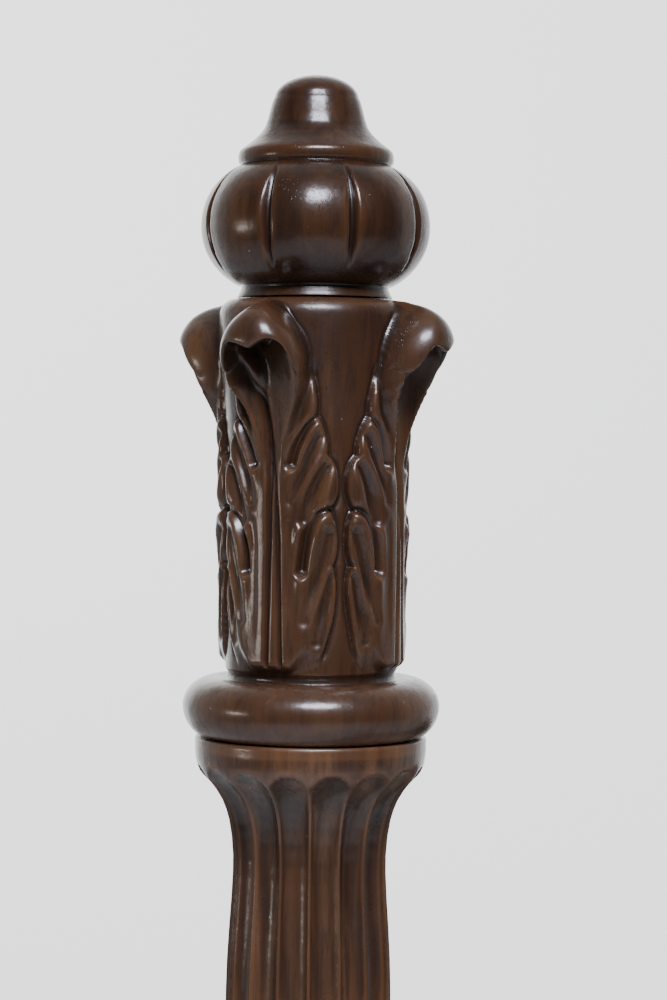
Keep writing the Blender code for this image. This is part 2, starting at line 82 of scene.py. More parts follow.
# %% Turning a profile
def ellipse_arc(centre, radii, start, end, steps):
    """Points of an elliptical arc as (radius, height); angles are in degrees up from outward."""
    angles = [math.radians(start + (end - start) * i / steps) for i in range(steps + 1)]
    return [(centre[0] + radii[0] * math.cos(a), centre[1] + radii[1] * math.sin(a)) for a in angles]


def resample(profile, spacing):
    """Adds points along the straight stretches of a profile, so that no step is longer than spacing."""
    dense = [profile[0]]
    for (r0, z0), (r1, z1) in zip(profile, profile[1:]):
        count = max(1, math.ceil(math.hypot(r1 - r0, z1 - z0) / spacing))
        dense += [(r0 + (r1 - r0) * i / count, z0 + (z1 - z0) * i / count) for i in range(1, count + 1)]
    return dense


def finished_mesh(bm, name, sharp_above=None):
    """A smooth-shaded mesh in which edges that bend more than sharp_above degrees stay sharp."""
    mesh = bpy.data.meshes.new(name)
    bm.to_mesh(mesh)
    bm.free()
    mesh.shade_smooth()
    if sharp_above is not None:
        mesh.set_sharp_from_angle(angle=math.radians(sharp_above))
    return mesh


def turn_on_lathe(name, profile_mm, segments):
    """Spins a profile of (radius, height) in millimetres about Z into a closed, outward-facing mesh."""
    bm = bmesh.new()
    line = [bm.verts.new((r * MM, 0, z * MM)) for r, z in profile_mm]
    edges = [bm.edges.new(pair) for pair in zip(line, line[1:])]
    bmesh.ops.spin(
        bm, geom=line + edges, cent=(0, 0, 0), axis=(0, 0, 1), angle=2 * math.pi,
        steps=segments, use_merge=True, use_duplicate=False,
    )
    bmesh.ops.remove_doubles(bm, verts=bm.verts, dist=0.000001)
    bmesh.ops.recalc_face_normals(bm, faces=bm.faces)
    return finished_mesh(bm, name)


def points_of(mesh):
    flat = np.empty(len(mesh.vertices) * 3)
    mesh.vertices.foreach_get("co", flat)
    return flat.reshape(-1, 3)


def cylinder_coordinates(mesh):
    """Angle in degrees, height in mm and radius in mm of every vertex."""
    x, y, height = (points_of(mesh) / MM).T
    return np.degrees(np.arctan2(y, x)), height, np.hypot(x, y)


def set_radius(mesh, radius_mm, height_mm=None):
    """Moves every vertex along its own radius, and to a new height where one is given."""
    points = points_of(mesh)
    old = np.hypot(points[:, 0], points[:, 1])
    scale = np.where(old > 1e-6, radius_mm * MM / np.maximum(old, 1e-6), 1.0)
    points[:, 0] *= scale
    points[:, 1] *= scale
    if height_mm is not None:
        points[:, 2] = height_mm * MM
    mesh.vertices.foreach_set("co", points.ravel())
    mesh.update()


def unit(value):
    return np.clip(value, 0.0, 1.0)


def smooth(value, low, high):
    """0 below low, 1 above high, and an easy curve between."""
    t = unit((value - low) / (high - low))
    return t * t * (3 - 2 * t)


def quarter_round(value):
    """Rises from 0 to 1 like a quarter of a circle, steeply at first."""
    return np.sqrt(1 - (1 - unit(value)) ** 2)


def store(mesh, name, values):
    """Keeps one number per vertex on the mesh, for its material to read."""
    attribute = mesh.attributes.new(name, "FLOAT", "POINT")
    attribute.data.foreach_set("value", values.astype(np.float32))


# %% [markdown]
# ## The leaf capital
#
# On the real post this is one block: a bold ring at the foot, and above it a bell with four acanthus
# leaves whose tips roll outwards under the neck. It could be built as a bell with separate leaf meshes
# stuck on, but carved wood has no seams, so the leaves are cut from one blank. The blank is turned with
# rows of points close enough for a two millimetre gouge. Each leaf then has its own small map: degrees
# from the leaf's middle line one way, and millimetres above the joint the other. A few rows lie almost on
# top of each other at LIP_ROW, where they are spare material for the ceiling under each rolled tip.

# %% The blank
LEAF_PITCH = 90.0
ARC_MM_PER_DEGREE = 0.367
BELL_ROW = 0.42
BELL_SEGMENTS = 400
LIP_ROW = 87.6
LIP_SPARE = 0.3
BELL_RADII = (20.0, 20.0, 20.1, 20.6, 21.3, 21.9, 22.1)
BELL_HEIGHTS = (18.4, 45.0, 66.0, 75.0, 82.5, 91.0, 96.0)


def bell_radius(up):
    """Radius of the bare bell in mm, rounding over at the top to meet the neck."""
    wall = np.interp(up, BELL_HEIGHTS, BELL_RADII)
    shoulder = unit((up - 97.4) / 3.9)
    return wall - 3.4 * (1 - np.sqrt(1 - 0.995 * shoulder**2))


def capital_profile():
    upper = np.arange(101.1, LIP_ROW + LIP_SPARE, -BELL_ROW)
    spare = np.linspace(LIP_ROW + LIP_SPARE, LIP_ROW - LIP_SPARE, 9)
    lower = np.arange(LIP_ROW - LIP_SPARE - BELL_ROW, 18.6, -BELL_ROW)
    heights = np.concatenate([upper, spare, lower])
    bell = list(zip(bell_radius(heights), heights))
    cove = [(20.0, 18.2), (20.05, 17.3), (20.3, 16.7), (20.4, 16.3), (20.2, 15.9), (19.7, 15.5)]
    cove += [(19.35, 14.9), (19.3, 14.2), (19.45, 13.6)]
    ring = ellipse_arc((22.4, 7.25), (7.5, 6.6), 112, 0, 18)
    ring += ellipse_arc((22.4, 7.25), (7.5, 7.9), -8, -61, 9)
    seat = [(25.9, 0.3), (14.0, 0.3), (0.0, 0.3)]
    return [(0.0, 101.3), (17.6, 101.3)] + bell + cove + ring + seat


capital_mesh = turn_on_lathe("leaf_capital", capital_profile(), BELL_SEGMENTS)
print("capital blank:", len(capital_mesh.polygons), "faces")

# %% [markdown]
# ### Setting in the outline
#
# A carver first sets in the outline. On each side of the leaf a plain strap hangs from the rolled tip,
# and below it come four lobes parted by notches. Between two notches the edge bulges outward, steeply at
# the notches and flat in between, so a fractional power of a parabola describes it well. The wood inside
# the line stands proud with a rounded edge, and the tool leaves a shallow trench just outside it.

# %% Outline
# upper notch, lower notch (degrees from the midrib, mm up), and the bulge between them in degrees
EDGE_SPANS = (
    ((22.3, 87.2), (27.0, 74.6), 2.4),
    ((27.0, 74.6), (34.9, 65.6), 3.2),
    ((34.9, 65.6), (36.8, 53.3), 7.2),
    ((36.8, 53.3), (38.4, 40.7), 4.7),
    ((38.4, 40.7), (29.0, 17.4), 6.6),
)
LEAF_THICKNESS = 2.15


def leaf_edge(up):
    """Half width of the leaf in degrees at each height."""
    edge = np.full_like(up, 22.3)
    for (top_angle, top), (low_angle, low), bulge in EDGE_SPANS:
        down = unit((top - up) / (top - low))
        span = top_angle + (low_angle - top_angle) * down + bulge * (4 * down * (1 - down)) ** 0.6
        edge = np.where((up <= top) & (up > low), span, edge)
    return np.where(up < EDGE_SPANS[-1][1][1], 29.0, edge)


def distance_to_line(across, up, line_across, line_up):
    """Distance in mm from every point to a line of straight pieces, and the place along it, 0 to 1."""
    best = np.full_like(across, 1e9)
    place = np.zeros_like(across)
    count = len(line_across) - 1
    for i in range(count):
        run, rise = line_across[i + 1] - line_across[i], line_up[i + 1] - line_up[i]
        length = max(run * run + rise * rise, 1e-9)
        t = unit(((across - line_across[i]) * run + (up - line_up[i]) * rise) / length)
        gap = np.hypot(across - line_across[i] - t * run, up - line_up[i] - t * rise)
        nearer = gap < best
        best = np.where(nearer, gap, best)
        place = np.where(nearer, (i + t) / count, place)
    return best, place


def leaf_plate(across, up):
    """The set-in leaf: thickness with a rounded edge inside the outline, and a trench outside it."""
    line_up = np.linspace(88.0, 15.0, 150)
    line_across = leaf_edge(line_up) * ARC_MM_PER_DEGREE
    gap, _ = distance_to_line(across, up, line_across, line_up)
    inside = across < leaf_edge(up) * ARC_MM_PER_DEGREE
    proud = LEAF_THICKNESS * (0.35 * np.minimum(gap / 0.5, 1.0) + 0.65 * quarter_round(gap / 3.9))
    foot = smooth(up, 15.9, 18.0 + 6.5 * smooth(across, 4.2, 9.0))
    trench = -0.65 * np.exp(-((gap / 0.9) ** 2)) * smooth(up, 18.5, 21.0) * (1 - smooth(up, 84.0, 87.0))
    return np.where(inside, proud * foot * (1 - smooth(up, 86.0, 89.5)), trench)


# %% [markdown]
# ### Gouge cuts
#
# Inside the outline nearly everything is one kind of stroke. The gouge enters lightly near a notch, bites
# deeper and wider as it runs down and inward, and stops short in a round end. Two of the cuts are narrow
# and deep, and part whole leaflets; the others are broad spoons that hollow a leaflet. Each stroke is a
# curve with a start, a bend and an end, and its depth fades with the distance from that curve.

# %% Cuts
# start, bend, end (degrees, mm up), half width and depth in mm at start and end, and how far it runs out
GOUGE_CUTS = (
    ((27.3, 74.2), (18.0, 71.0), (12.8, 63.6), (0.60, 1.30), (0.9, 2.5), 0.10),
    ((29.5, 69.8), (21.0, 63.8), (13.0, 55.0), (1.30, 1.30), (1.0, 1.4), 0.60),
    ((33.8, 63.0), (27.0, 59.0), (22.0, 51.0), (1.20, 2.00), (1.2, 2.3), 0.40),
    ((36.0, 53.2), (20.5, 52.4), (19.0, 39.5), (0.65, 1.35), (1.0, 2.8), 0.0),
    ((35.5, 47.8), (30.5, 41.0), (22.0, 28.2), (1.40, 1.80), (1.0, 1.9), 0.65),
    ((37.6, 38.2), (34.0, 33.5), (29.6, 23.6), (1.00, 2.10), (1.0, 2.5), 0.45),
    ((20.6, 83.5), (18.4, 77.5), (11.4, 67.5), (2.40, 1.30), (1.8, 1.0), 0.70),
    ((12.5, 50.0), (10.5, 36.0), (14.5, 21.0), (1.20, 2.60), (0.3, 0.6), 0.80),
)


def gouge_depth(across, up, start, bend, end, widths, depths, run_out):
    """Depth of one stroke, and the swelling of the wood on either side of it."""
    t = np.linspace(0.0, 1.0, 15)
    line_across = ((1 - t) ** 2 * start[0] + 2 * t * (1 - t) * bend[0] + t * t * end[0]) * ARC_MM_PER_DEGREE
    line_up = (1 - t) ** 2 * start[1] + 2 * t * (1 - t) * bend[1] + t * t * end[1]
    gap, place = distance_to_line(across, up, line_across, line_up)
    width = widths[0] + (widths[1] - widths[0]) * place
    depth = (depths[0] + (depths[1] - depths[0]) * place) * (1 - run_out * smooth(place, 0.55, 1.0))
    bite = unit(1 - (gap / width) ** 2) ** 1.3
    shoulders = unit(1 - (gap / (2.1 * width)) ** 2) ** 2
    swell = np.exp(-(((gap / width - 1.8) / 0.75) ** 2))
    swell = swell * (1 - smooth(place, 0.55, 0.95))
    return depth * (0.60 * bite + 0.40 * shoulders), 0.30 * depth * swell


# %% [markdown]
# ### Midrib, flanks and pockets
#
# Toward the top the leaf leans out. Its flanks rise into two sharp walls that end at the corners of the
# rolled tip, and between them the midrib stands up as a thin blade, a little to one side. The hollows
# between blade and walls are the dark pockets. Lower down the midrib is a low rib between two V cuts,
# which run together into one groove before the blade begins.


# %% Leaf face
def flank_angle(up):
    """Degrees from the middle line to the crest of the leaf's turned-up flank."""
    return 8.0 - 1.0 * smooth(up, 45.0, 62.0) + 11.4 * smooth(up, 65.0, 85.0)


def flank_radius(up):
    return 21.9 + 9.2 * np.clip((up - 60.0) / 26.0, 0.0, 1.08) ** 2.1


def rib_angle(up):
    """The midrib's own drift to one side as it climbs."""
    height = (17.0, 45.0, 60.0, 67.0, 72.0, 76.0, 80.0, 84.5, 87.0, 89.5, 92.0)
    drift = (2.4, 2.1, 0.4, -1.8, -3.3, -5.2, -6.9, -7.0, -8.2, -11.5, -13.5)
    return np.interp(up, height, drift)


def rib_radius(up):
    return 21.9 + 10.6 * unit((up - 70.0) / 20.5) ** 2.3


def leaf_face(angle, up, plate):
    """Radius of the hollowed face between the flanks, and of their steep outer sides."""
    rib, flank = rib_angle(up), flank_angle(up)
    half = np.where(angle > rib, flank - rib, flank + rib)
    from_rib = np.abs(angle - rib)
    half = np.maximum(half, 1.5)
    side = from_rib / half
    floor = 21.1 + 1.3 * smooth(up, 72.0, 90.0)
    crest = flank_radius(up)
    hollow = floor + (crest - floor) * unit(side) ** 2.2
    blade = (rib_radius(up) - floor) * np.exp(-((from_rib / 2.1) ** 1.3)) * smooth(up, 78.0, 84.0)
    beyond = np.clip(from_rib - half, 0.0, None) * ARC_MM_PER_DEGREE
    outer = plate + (crest - plate) * np.exp(-((beyond / 0.85) ** 1.5))
    return np.where(side <= 1, hollow + blade, outer)


def midrib_cuts(angle, up):
    half_gap = np.interp(up, (17.0, 35.0, 50.0, 62.0, 76.0), (4.6, 3.5, 2.6, 1.7, 0.8))
    offset = np.abs(angle - rib_angle(up))
    width = 1.7 + 0.6 * smooth(up, 30.0, 55.0)
    cut = unit(1 - np.abs(offset - half_gap) / width) ** 1.1
    ends = smooth(up, 16.2, 18.5) * (1 - smooth(up, 76.0, 84.0))
    sunk = 1.1 * smooth(up, 44.0, 64.0) * (1 - smooth(offset, half_gap - 0.5, half_gap + 1.2))
    return (1.7 * cut * (1 - 0.35 * smooth(up, 50.0, 66.0)) + sunk) * ends


# %% [markdown]
# ### The rolled tip
#
# Seen from the front the roll is a dome that narrows toward the shoulder of the bell. It overhangs: its
# lip arches over the two pockets, drops low at the corners, and rises again on the outer sides. The rows
# around LIP_ROW are moved up or down to follow that lip, and the spare rows bend into a ceiling behind it.


# %% Rolled tip
# degrees from the middle line, mm above the joint
LIP_POINTS = (
    (-22.3, 85.8), (-19.6, 84.6), (-17.5, 83.8), (-15.6, 83.6), (-13.8, 86.0), (-11.0, 89.2),
    (-8.7, 90.3), (-4.4, 89.8), (0.4, 88.6), (4.0, 90.2), (7.6, 91.0), (11.0, 90.5),
    (13.6, 89.1), (15.4, 86.8), (16.8, 84.5), (18.0, 82.7), (22.3, 85.0),
)
ROLL_HALF_WIDTH = 22.4
ROLL_REACH = 12.4


def lip_height(angle):
    """Lowest edge of the rolled tip in mm above the joint."""
    return np.interp(angle, *zip(*LIP_POINTS))


def tip_outline(up):
    over = unit((up - 86.0) / 14.6)
    return ROLL_HALF_WIDTH * (1 - over**2) ** 0.83


def tip_radius(angle, up):
    """Outer face of the rolled tip, and the bare bell outside it."""
    over = unit((up - 90.5) / 10.4)
    under = np.clip((90.5 - up) / 6.5, 0.0, 1.2)
    reach = ROLL_REACH * np.sqrt(1 - over**2.1) - 1.5 * under**2
    outline = np.maximum(tip_outline(up), 0.01)
    aside = unit(np.abs(angle) / outline)
    outside = np.clip(np.abs(angle) - outline, 0.0, None) * ARC_MM_PER_DEGREE
    creased = smooth(up, 84.0, 88.0) * (1 - smooth(up, 97.0, 100.5))
    crevice = 0.5 * np.exp(-((outside / 0.55) ** 2)) * creased
    return bell_radius(up) + reach * (1 - aside**2.8) ** 0.66 - crevice * (aside >= 1)


# %% [markdown]
# ### Carving the blank
#
# Now all the layers meet: rows below the lip become the leaf's face, rows above it the rolled tip, and the
# spare rows between them the ceiling. A last light smoothing takes off the arris that the grid of rows
# would leave on slanting cuts, as a carver's burnisher does.


# %% Carve
def leaf_surface(angle, up):
    """Radius of everything below the lip: outline, cuts, flanks, midrib and pockets."""
    across = np.abs(angle) * ARC_MM_PER_DEGREE
    ground = bell_radius(up)
    plate = ground + leaf_plate(across, up)
    face = leaf_face(angle, up, plate)
    risen = smooth(up, 56.0, 68.0)
    surface = plate + (face - plate) * risen
    cuts = np.zeros_like(up)
    swells = np.zeros_like(up)
    for cut in GOUGE_CUTS:
        depth, swell = gouge_depth(across, up, *cut)
        cuts = np.maximum(cuts, depth)
        swells = np.maximum(swells, swell)
    swells = swells * unit((plate - ground) / LEAF_THICKNESS) * (1 - unit(cuts / 0.8))
    beside_flank = smooth(np.abs(angle), flank_angle(up) - 1.0, flank_angle(up) + 2.5)
    return surface - (cuts - swells) * beside_flank - midrib_cuts(angle, up)


def carve_leaves(mesh):
    angle, row, blank = cylinder_coordinates(mesh)
    leaf_number = np.round(angle / LEAF_PITCH)
    in_leaf = angle - LEAF_PITCH * leaf_number
    hand = 0.5 * np.sin(row * 0.17 + leaf_number * 2.1) + 0.3 * np.sin(row * 0.41 + leaf_number * 1.3)
    lobes = smooth(np.abs(in_leaf), 6.0, 16.0) * (1 - smooth(np.abs(in_leaf), 38.0, 44.0))
    in_leaf = in_leaf + hand * lobes
    full = (0.02 - 0.13 * np.cos(math.pi * leaf_number)) * smooth(row, 74.0, 84.0)
    full = full * (1 - smooth(np.abs(in_leaf), 27.0, 40.0))
    in_leaf = np.where(in_leaf < 0, in_leaf / (1 + full), in_leaf)
    on_bell = (row > 15.8) & (row < 101.2) & (blank > 17.7)

    near = 1 - smooth(np.abs(in_leaf), 22.6, 26.0)
    lip = LIP_ROW + (lip_height(in_leaf) - LIP_ROW) * near
    tip_edge = tip_radius(in_leaf, lip)
    open_lip = 1 - smooth(np.abs(in_leaf + 0.2), 15.6, 18.2)
    rise = 1.9 * unit((tip_edge - leaf_surface(in_leaf, lip + 1.0)) / 6.0) * near * open_lip
    behind = leaf_surface(in_leaf, lip + rise)
    proud = unit((tip_edge - bell_radius(lip)) / 4.0)
    behind = behind + (tip_edge - 0.5 * proud - behind) * (1 - open_lip) * near
    low_up = row + (lip + rise - LIP_ROW) * smooth(row, LIP_ROW - 15.0, LIP_ROW - LIP_SPARE)
    high_up = row + (lip - LIP_ROW) * (1 - smooth(row, LIP_ROW + LIP_SPARE, LIP_ROW + 11.0))

    closed = smooth(np.abs(in_leaf + 0.2), 16.2, 18.6)
    low = leaf_surface(in_leaf, low_up)
    side_of_roll = tip_radius(in_leaf, low_up) - 0.5 * proud
    low = low + (side_of_roll - low) * closed * near * smooth(low_up, lip - 6.0, lip)
    tuck = (0.5 + 0.5 * open_lip) * proud
    edge = tip_edge - tuck
    tuck = tuck * (1 - quarter_round((high_up - lip) / 1.3))
    high = tip_radius(in_leaf, high_up) - tuck
    q = unit((row - LIP_ROW + LIP_SPARE) / (2 * LIP_SPARE))
    between = behind + (edge - behind) * q
    between_up = lip + rise * np.sqrt(1 - q**2) + (q - 0.5) * 0.05

    radius = np.where(q <= 0, low, np.where(q >= 1, high, between))
    height = np.where(q <= 0, low_up, np.where(q >= 1, high_up, between_up))
    radius = np.where(on_bell, radius, blank)
    height = np.where(on_bell, height, row)
    set_radius(mesh, radius, height)
    return radius - blank


def relax(bm, verts, factor, rounds):
    for _ in range(rounds):
        bmesh.ops.smooth_vert(
            bm, verts=verts, factor=factor, use_axis_x=True, use_axis_y=True, use_axis_z=True
        )


def burnish(mesh, low_mm, high_mm, rounds):
    """Takes the sharpness of the grid off the carving between two heights."""
    bm = bmesh.new()
    bm.from_mesh(mesh)
    band = [v for v in bm.verts if low_mm * MM < v.co.z < high_mm * MM]
    relax(bm, band, 0.5, rounds)
    bm.to_mesh(mesh)
    bm.free()


capital_relief = carve_leaves(capital_mesh)
burnish(capital_mesh, 19.0, 100.6, 1)
burnish(capital_mesh, 80.0, 100.6, 2)
print("carved between", round(capital_relief.min(), 2), "and", round(capital_relief.max(), 2), "mm")

# %% [markdown]
# ## The finial
#
# The melon, ring and bell are one turning that plugs into the capital. Eight slits part the melon into
# segments. Each was cut with two slanting strokes, so it is a V that is widest at the melon's waist and
# runs out to a point above and below.

# %% Finial
SLIT_COUNT = 8
SLIT_OFFSET = 0.4


def finial_profile():
    bell = ellipse_arc((0.0, 147.6), (9.8, 5.7), 90, 6, 14)
    bell += [(10.2, 147.2), (10.7, 145.4), (11.25, 143.1), (11.9, 141.2), (13.0, 139.6), (14.6, 138.0)]
    bell += [(16.0, 136.9), (17.0, 136.2), (17.75, 135.5), (18.0, 134.7), (18.05, 133.7), (17.9, 132.9)]
    bell += [(17.45, 132.5), (17.5, 132.2)]
    melon = ellipse_arc((12.6, 118.3), (13.7, 14.9), 69, -68, 48)
    neck = [(16.95, 104.5), (17.2, 103.6), (17.6, 102.6), (18.0, 101.8), (18.0, 101.7)]
    neck += [(7.0, 101.7), (7.0, 81.6), (0.0, 81.6)]
    return resample(bell + melon, 1.0) + neck


def degrees_aside(angle, count, offset):
    """Degrees from every point to the nearest of count evenly spaced lines."""
    pitch = 360.0 / count
    return (angle - offset) - pitch * np.round((angle - offset) / pitch)


def slit_depth(aside, up, middle, half_length, half_width, depth):
    """V cut that is widest and deepest at its middle height; half_width is in degrees."""
    reach = unit(1 - ((up - middle) / half_length) ** 2)
    return unit(1 - np.abs(aside) / (half_width * reach + 0.01)) ** 0.9 * depth * np.sqrt(reach)


def cut_slits(mesh):
    angle, up, radius = cylinder_coordinates(mesh)
    aside = degrees_aside(angle, SLIT_COUNT, SLIT_OFFSET)
    cut = slit_depth(aside, up, middle=119.5, half_length=12.6, half_width=3.0, depth=2.1)
    middle = smooth(up, 106.0, 114.0) * (1 - smooth(up, 126.0, 132.0))
    pillow = 0.30 * np.cos(np.radians(aside * SLIT_COUNT)) * middle
    on_melon = (up > 104.4) & (up < 132.7) & (radius > 10.0)
    set_radius(mesh, np.where(on_melon, radius - cut - pillow, radius))


finial_mesh = turn_on_lathe("finial", finial_profile(), 320)
cut_slits(finial_mesh)
print("finial:", len(finial_mesh.polygons), "faces")

# %% [markdown]
# ## The fluted shaft
#
# A plain band at the top flares in to a waist, and below it the shaft thickens slowly. Sixteen flutes are
# scooped out of it, and each ends in an arch on the flare, so their narrow ridges open into cusps there.
# Along the straight part nothing changes, so its rows can be far apart.

# %% Shaft
FLUTE_COUNT = 16
FLUTE_OFFSET = 11.25 - 64.0
FLUTE_DEPTH = 2.9
PIN_HOLE_RADIUS = 4.4
PIN_HOLE_DEPTH = 26.0
SHAFT_TOP_MM = JOINT_HEIGHT / MM
SHAFT_BOTTOM_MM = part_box("lower_post_foot_left")[1].z / MM + 0.3


def shaft_profile():
    band = [(26.6, 0.0), (26.95, 0.35), (26.95, 3.0), (26.8, 4.6), (26.6, 5.8), (26.2, 7.0)]
    flare = [(25.7, 8.2), (25.0, 9.3), (24.0, 10.4), (23.1, 11.5), (22.2, 12.7), (21.5, 13.9), (20.8, 15.1)]
    waist = [(19.9, 17.3), (19.2, 19.7), (18.55, 23.5), (18.2, 28.0), (18.2, 32.0), (18.5, 38.0)]
    waist += [(19.0, 45.3), (19.4, 52.3), (19.6, 59.3)]
    length = SHAFT_TOP_MM - SHAFT_BOTTOM_MM
    foot_radius = 19.6 + 0.0082 * (length - 59.3)
    spread = ((0.0, 27.0), (0.5, 18.0), (2.2, 9.0), (3.6, 5.6), (3.8, 3.0), (3.8, 0.0))
    foot = [(foot_radius + wider, length - above) for wider, above in spread]
    upper = resample([(r, -down) for r, down in band + flare + waist], 0.7)
    lower = resample([(r, -down) for r, down in foot], 1.2)
    pin_hole = [(0.0, -PIN_HOLE_DEPTH), (PIN_HOLE_RADIUS, -PIN_HOLE_DEPTH), (PIN_HOLE_RADIUS, 0.0)]
    straight = resample([upper[-1], lower[0]], 18.0)[1:-1]
    profile = pin_hole + upper + straight + lower + [(0.0, -length)]
    return [(r, SHAFT_TOP_MM + height) for r, height in profile]


def cut_flutes(mesh):
    angle, up, radius = cylinder_coordinates(mesh)
    across = np.abs(degrees_aside(angle, FLUTE_COUNT, FLUTE_OFFSET)) / (180.0 / FLUTE_COUNT)
    down = SHAFT_TOP_MM - up
    above = up - SHAFT_BOTTOM_MM
    arch = 6.5 + 3.0 * across**2.0
    entry = quarter_round((down - arch) / 7.0)
    leaving = quarter_round((above - 6.0 - 3.0 * across**2) / 7.0)
    scoop = np.sqrt(unit(1 - (across / 0.985) ** 2))
    depth = FLUTE_DEPTH * entry * leaving * scoop
    on_side = (radius > 15.0) & (down > 0.5) & (above > 0.5)
    set_radius(mesh, np.where(on_side, radius - depth, radius))


shaft_mesh = turn_on_lathe("fluted_shaft", shaft_profile(), 288)
cut_flutes(shaft_mesh)
print("shaft:", len(shaft_mesh.polygons), "faces")

# %% [markdown]
# ## Where the finish gathers, where it wears and where shade is painted
#
# Stain and dust gather in hollows, where shade is painted into the wood as well, and hands rub the crests.
# All of them need to know whether a point lies in a hollow or on a crest. Relaxing a copy of the mesh
# answers that: where the relaxed skin floats above the real one there is a hollow, and where it sinks below
# there is a crest. The signed distance, as a share of reach_mm and never past 1 either way, is kept on the
# mesh for the materials.


# %% Hollows and crests
def store_hollows(mesh, rounds=8, reach_mm=0.40):
    bm = bmesh.new()
    bm.from_mesh(mesh)
    relax(bm, bm.verts, 1.0, rounds)
    relaxed = np.array([v.co for v in bm.verts])
    bm.free()
    normals = np.empty(len(mesh.vertices) * 3)
    mesh.vertex_normals.foreach_get("vector", normals)
    lift = ((relaxed - points_of(mesh)) * normals.reshape(-1, 3)).sum(axis=1) / MM
    store(mesh, "hollow", np.clip(lift / reach_mm, -1.0, 1.0))
    return lift


for carved in (capital_mesh, finial_mesh, shaft_mesh):
    lift = store_hollows(carved)
    deepest, highest = float(lift.max()), float(-lift.min())
    print(carved.name, "hollows up to", round(deepest, 2), "mm, crests up to", round(highest, 2), "mm")

# %% [markdown]
# ## Finishes as shared groups
#
# All the wood shares three node groups. The grain group turns a position into streaks and pores that run
# along one axis. The wear and shade group reads the stored hollows, breaks them up with noise and gives
# masks for rubbed crests and for hollows, which on the wood take darker stain and painted shade and on the
# metals patina. The dust group scatters small specks. They only hand out values; the shader that uses them
# stays in each material.


# %% Node helpers
def new_tree(name, sockets_in, sockets_out):
    group = bpy.data.node_groups.new(name, "ShaderNodeTree")
    for socket, kind, default in sockets_in:
        made = group.interface.new_socket(name=socket, in_out="INPUT", socket_type=kind)
        if default is not None:
            made.default_value = default
    for socket, kind in sockets_out:
        group.interface.new_socket(name=socket, in_out="OUTPUT", socket_type=kind)
    return group, group.nodes.new("NodeGroupInput"), group.nodes.new("NodeGroupOutput")


def add(tree, kind, inputs=None, **settings):
    """Adds a node, sets its properties, and fills or links its inputs."""
    node = tree.nodes.new(kind)
    for key, value in settings.items():
        setattr(node, key, value)
    for key, value in (inputs or {}).items():
        if isinstance(value, bpy.types.NodeSocket):
            tree.links.new(value, node.inputs[key])
        else:
            node.inputs[key].default_value = value
    return node


def ramp(tree, factor, low, high, to_low=0.0, to_high=1.0):
    """Smoothly remaps a value and returns the socket."""
    node = add(
        tree, "ShaderNodeMapRange", {0: factor, 1: low, 2: high, 3: to_low, 4: to_high},
        interpolation_type="SMOOTHSTEP",
    )
    return node.outputs[0]


def maths(tree, operation, first, second=0.0):
    return add(tree, "ShaderNodeMath", {0: first, 1: second}, operation=operation).outputs[0]


def times(tree, first, second):
    return maths(tree, "MULTIPLY", first, second)


def blend(tree, factor, first, second):
    """Mixes two colours; the sockets 0, 6 and 7 are the factor and the two colours."""
    return add(tree, "ShaderNodeMix", {0: factor, 6: first, 7: second}, data_type="RGBA").outputs[2]


def mix_in(tree, colour, mask, amount, paint):
    """Lays paint over the colour where the mask says so, at most by the amount."""
    return blend(tree, times(tree, mask, amount), colour, paint)


def noise(tree, vector, scale, detail=3.0, roughness=0.5, distortion=0.0):
    inputs = {"Vector": vector, "Scale": scale, "Detail": detail, "Roughness": roughness}
    inputs["Distortion"] = distortion
    return add(tree, "ShaderNodeTexNoise", inputs).outputs["Fac"]


def new_material(name):
    material = bpy.data.materials.new(name)
    material.use_nodes = True
    return material, material.node_tree, material.node_tree.nodes["Principled BSDF"]


def link_all(tree, shader, colour, roughness, bump_height):
    """Links the colour and roughness, and the height in metres as a bump; returns the bump's normal."""
    tree.links.new(colour, shader.inputs["Base Color"])
    tree.links.new(roughness, shader.inputs["Roughness"])
    bump = add(tree, "ShaderNodeBump", {"Strength": 1.0, "Distance": 1.0, "Height": bump_height})
    tree.links.new(bump.outputs["Normal"], shader.inputs["Normal"])
    return bump.outputs["Normal"]


def scaled(colour, gain):
    """The colour multiplied by gain, kept at or below 1, with full alpha."""
    return [min(1.0, value * gain) for value in colour[:3]] + [1]


# %% Grain, wear and dust groups
grain_group, grain_in, grain_out = new_tree(
    "wood_grain",
    [("Position", "NodeSocketVector", None), ("Stretch", "NodeSocketVector", (1.0, 1.0, 0.06))],
    [("Streaks", "NodeSocketFloat"), ("Figure", "NodeSocketFloat"), ("Pores", "NodeSocketFloat")],
)
place, stretch = grain_in.outputs[:2]
stretched = add(grain_group, "ShaderNodeVectorMath", {0: place, 1: stretch}, operation="MULTIPLY")
along_grain = stretched.outputs[0]
streaks = noise(grain_group, along_grain, 620.0, 4.0, 0.62, 0.3)
figure = noise(grain_group, along_grain, 110.0, 3.0, 0.55, 0.8)
pore_cells = add(grain_group, "ShaderNodeTexVoronoi", {"Vector": along_grain, "Scale": 2600.0})
pores = ramp(grain_group, pore_cells.outputs["Distance"], 0.10, 0.26, 1.0, 0.0)
pore_clumps = ramp(grain_group, noise(grain_group, along_grain, 240.0, 2.0), 0.50, 0.66)
grain_group.links.new(streaks, grain_out.inputs["Streaks"])
grain_group.links.new(figure, grain_out.inputs["Figure"])
grain_group.links.new(times(grain_group, pores, pore_clumps), grain_out.inputs["Pores"])

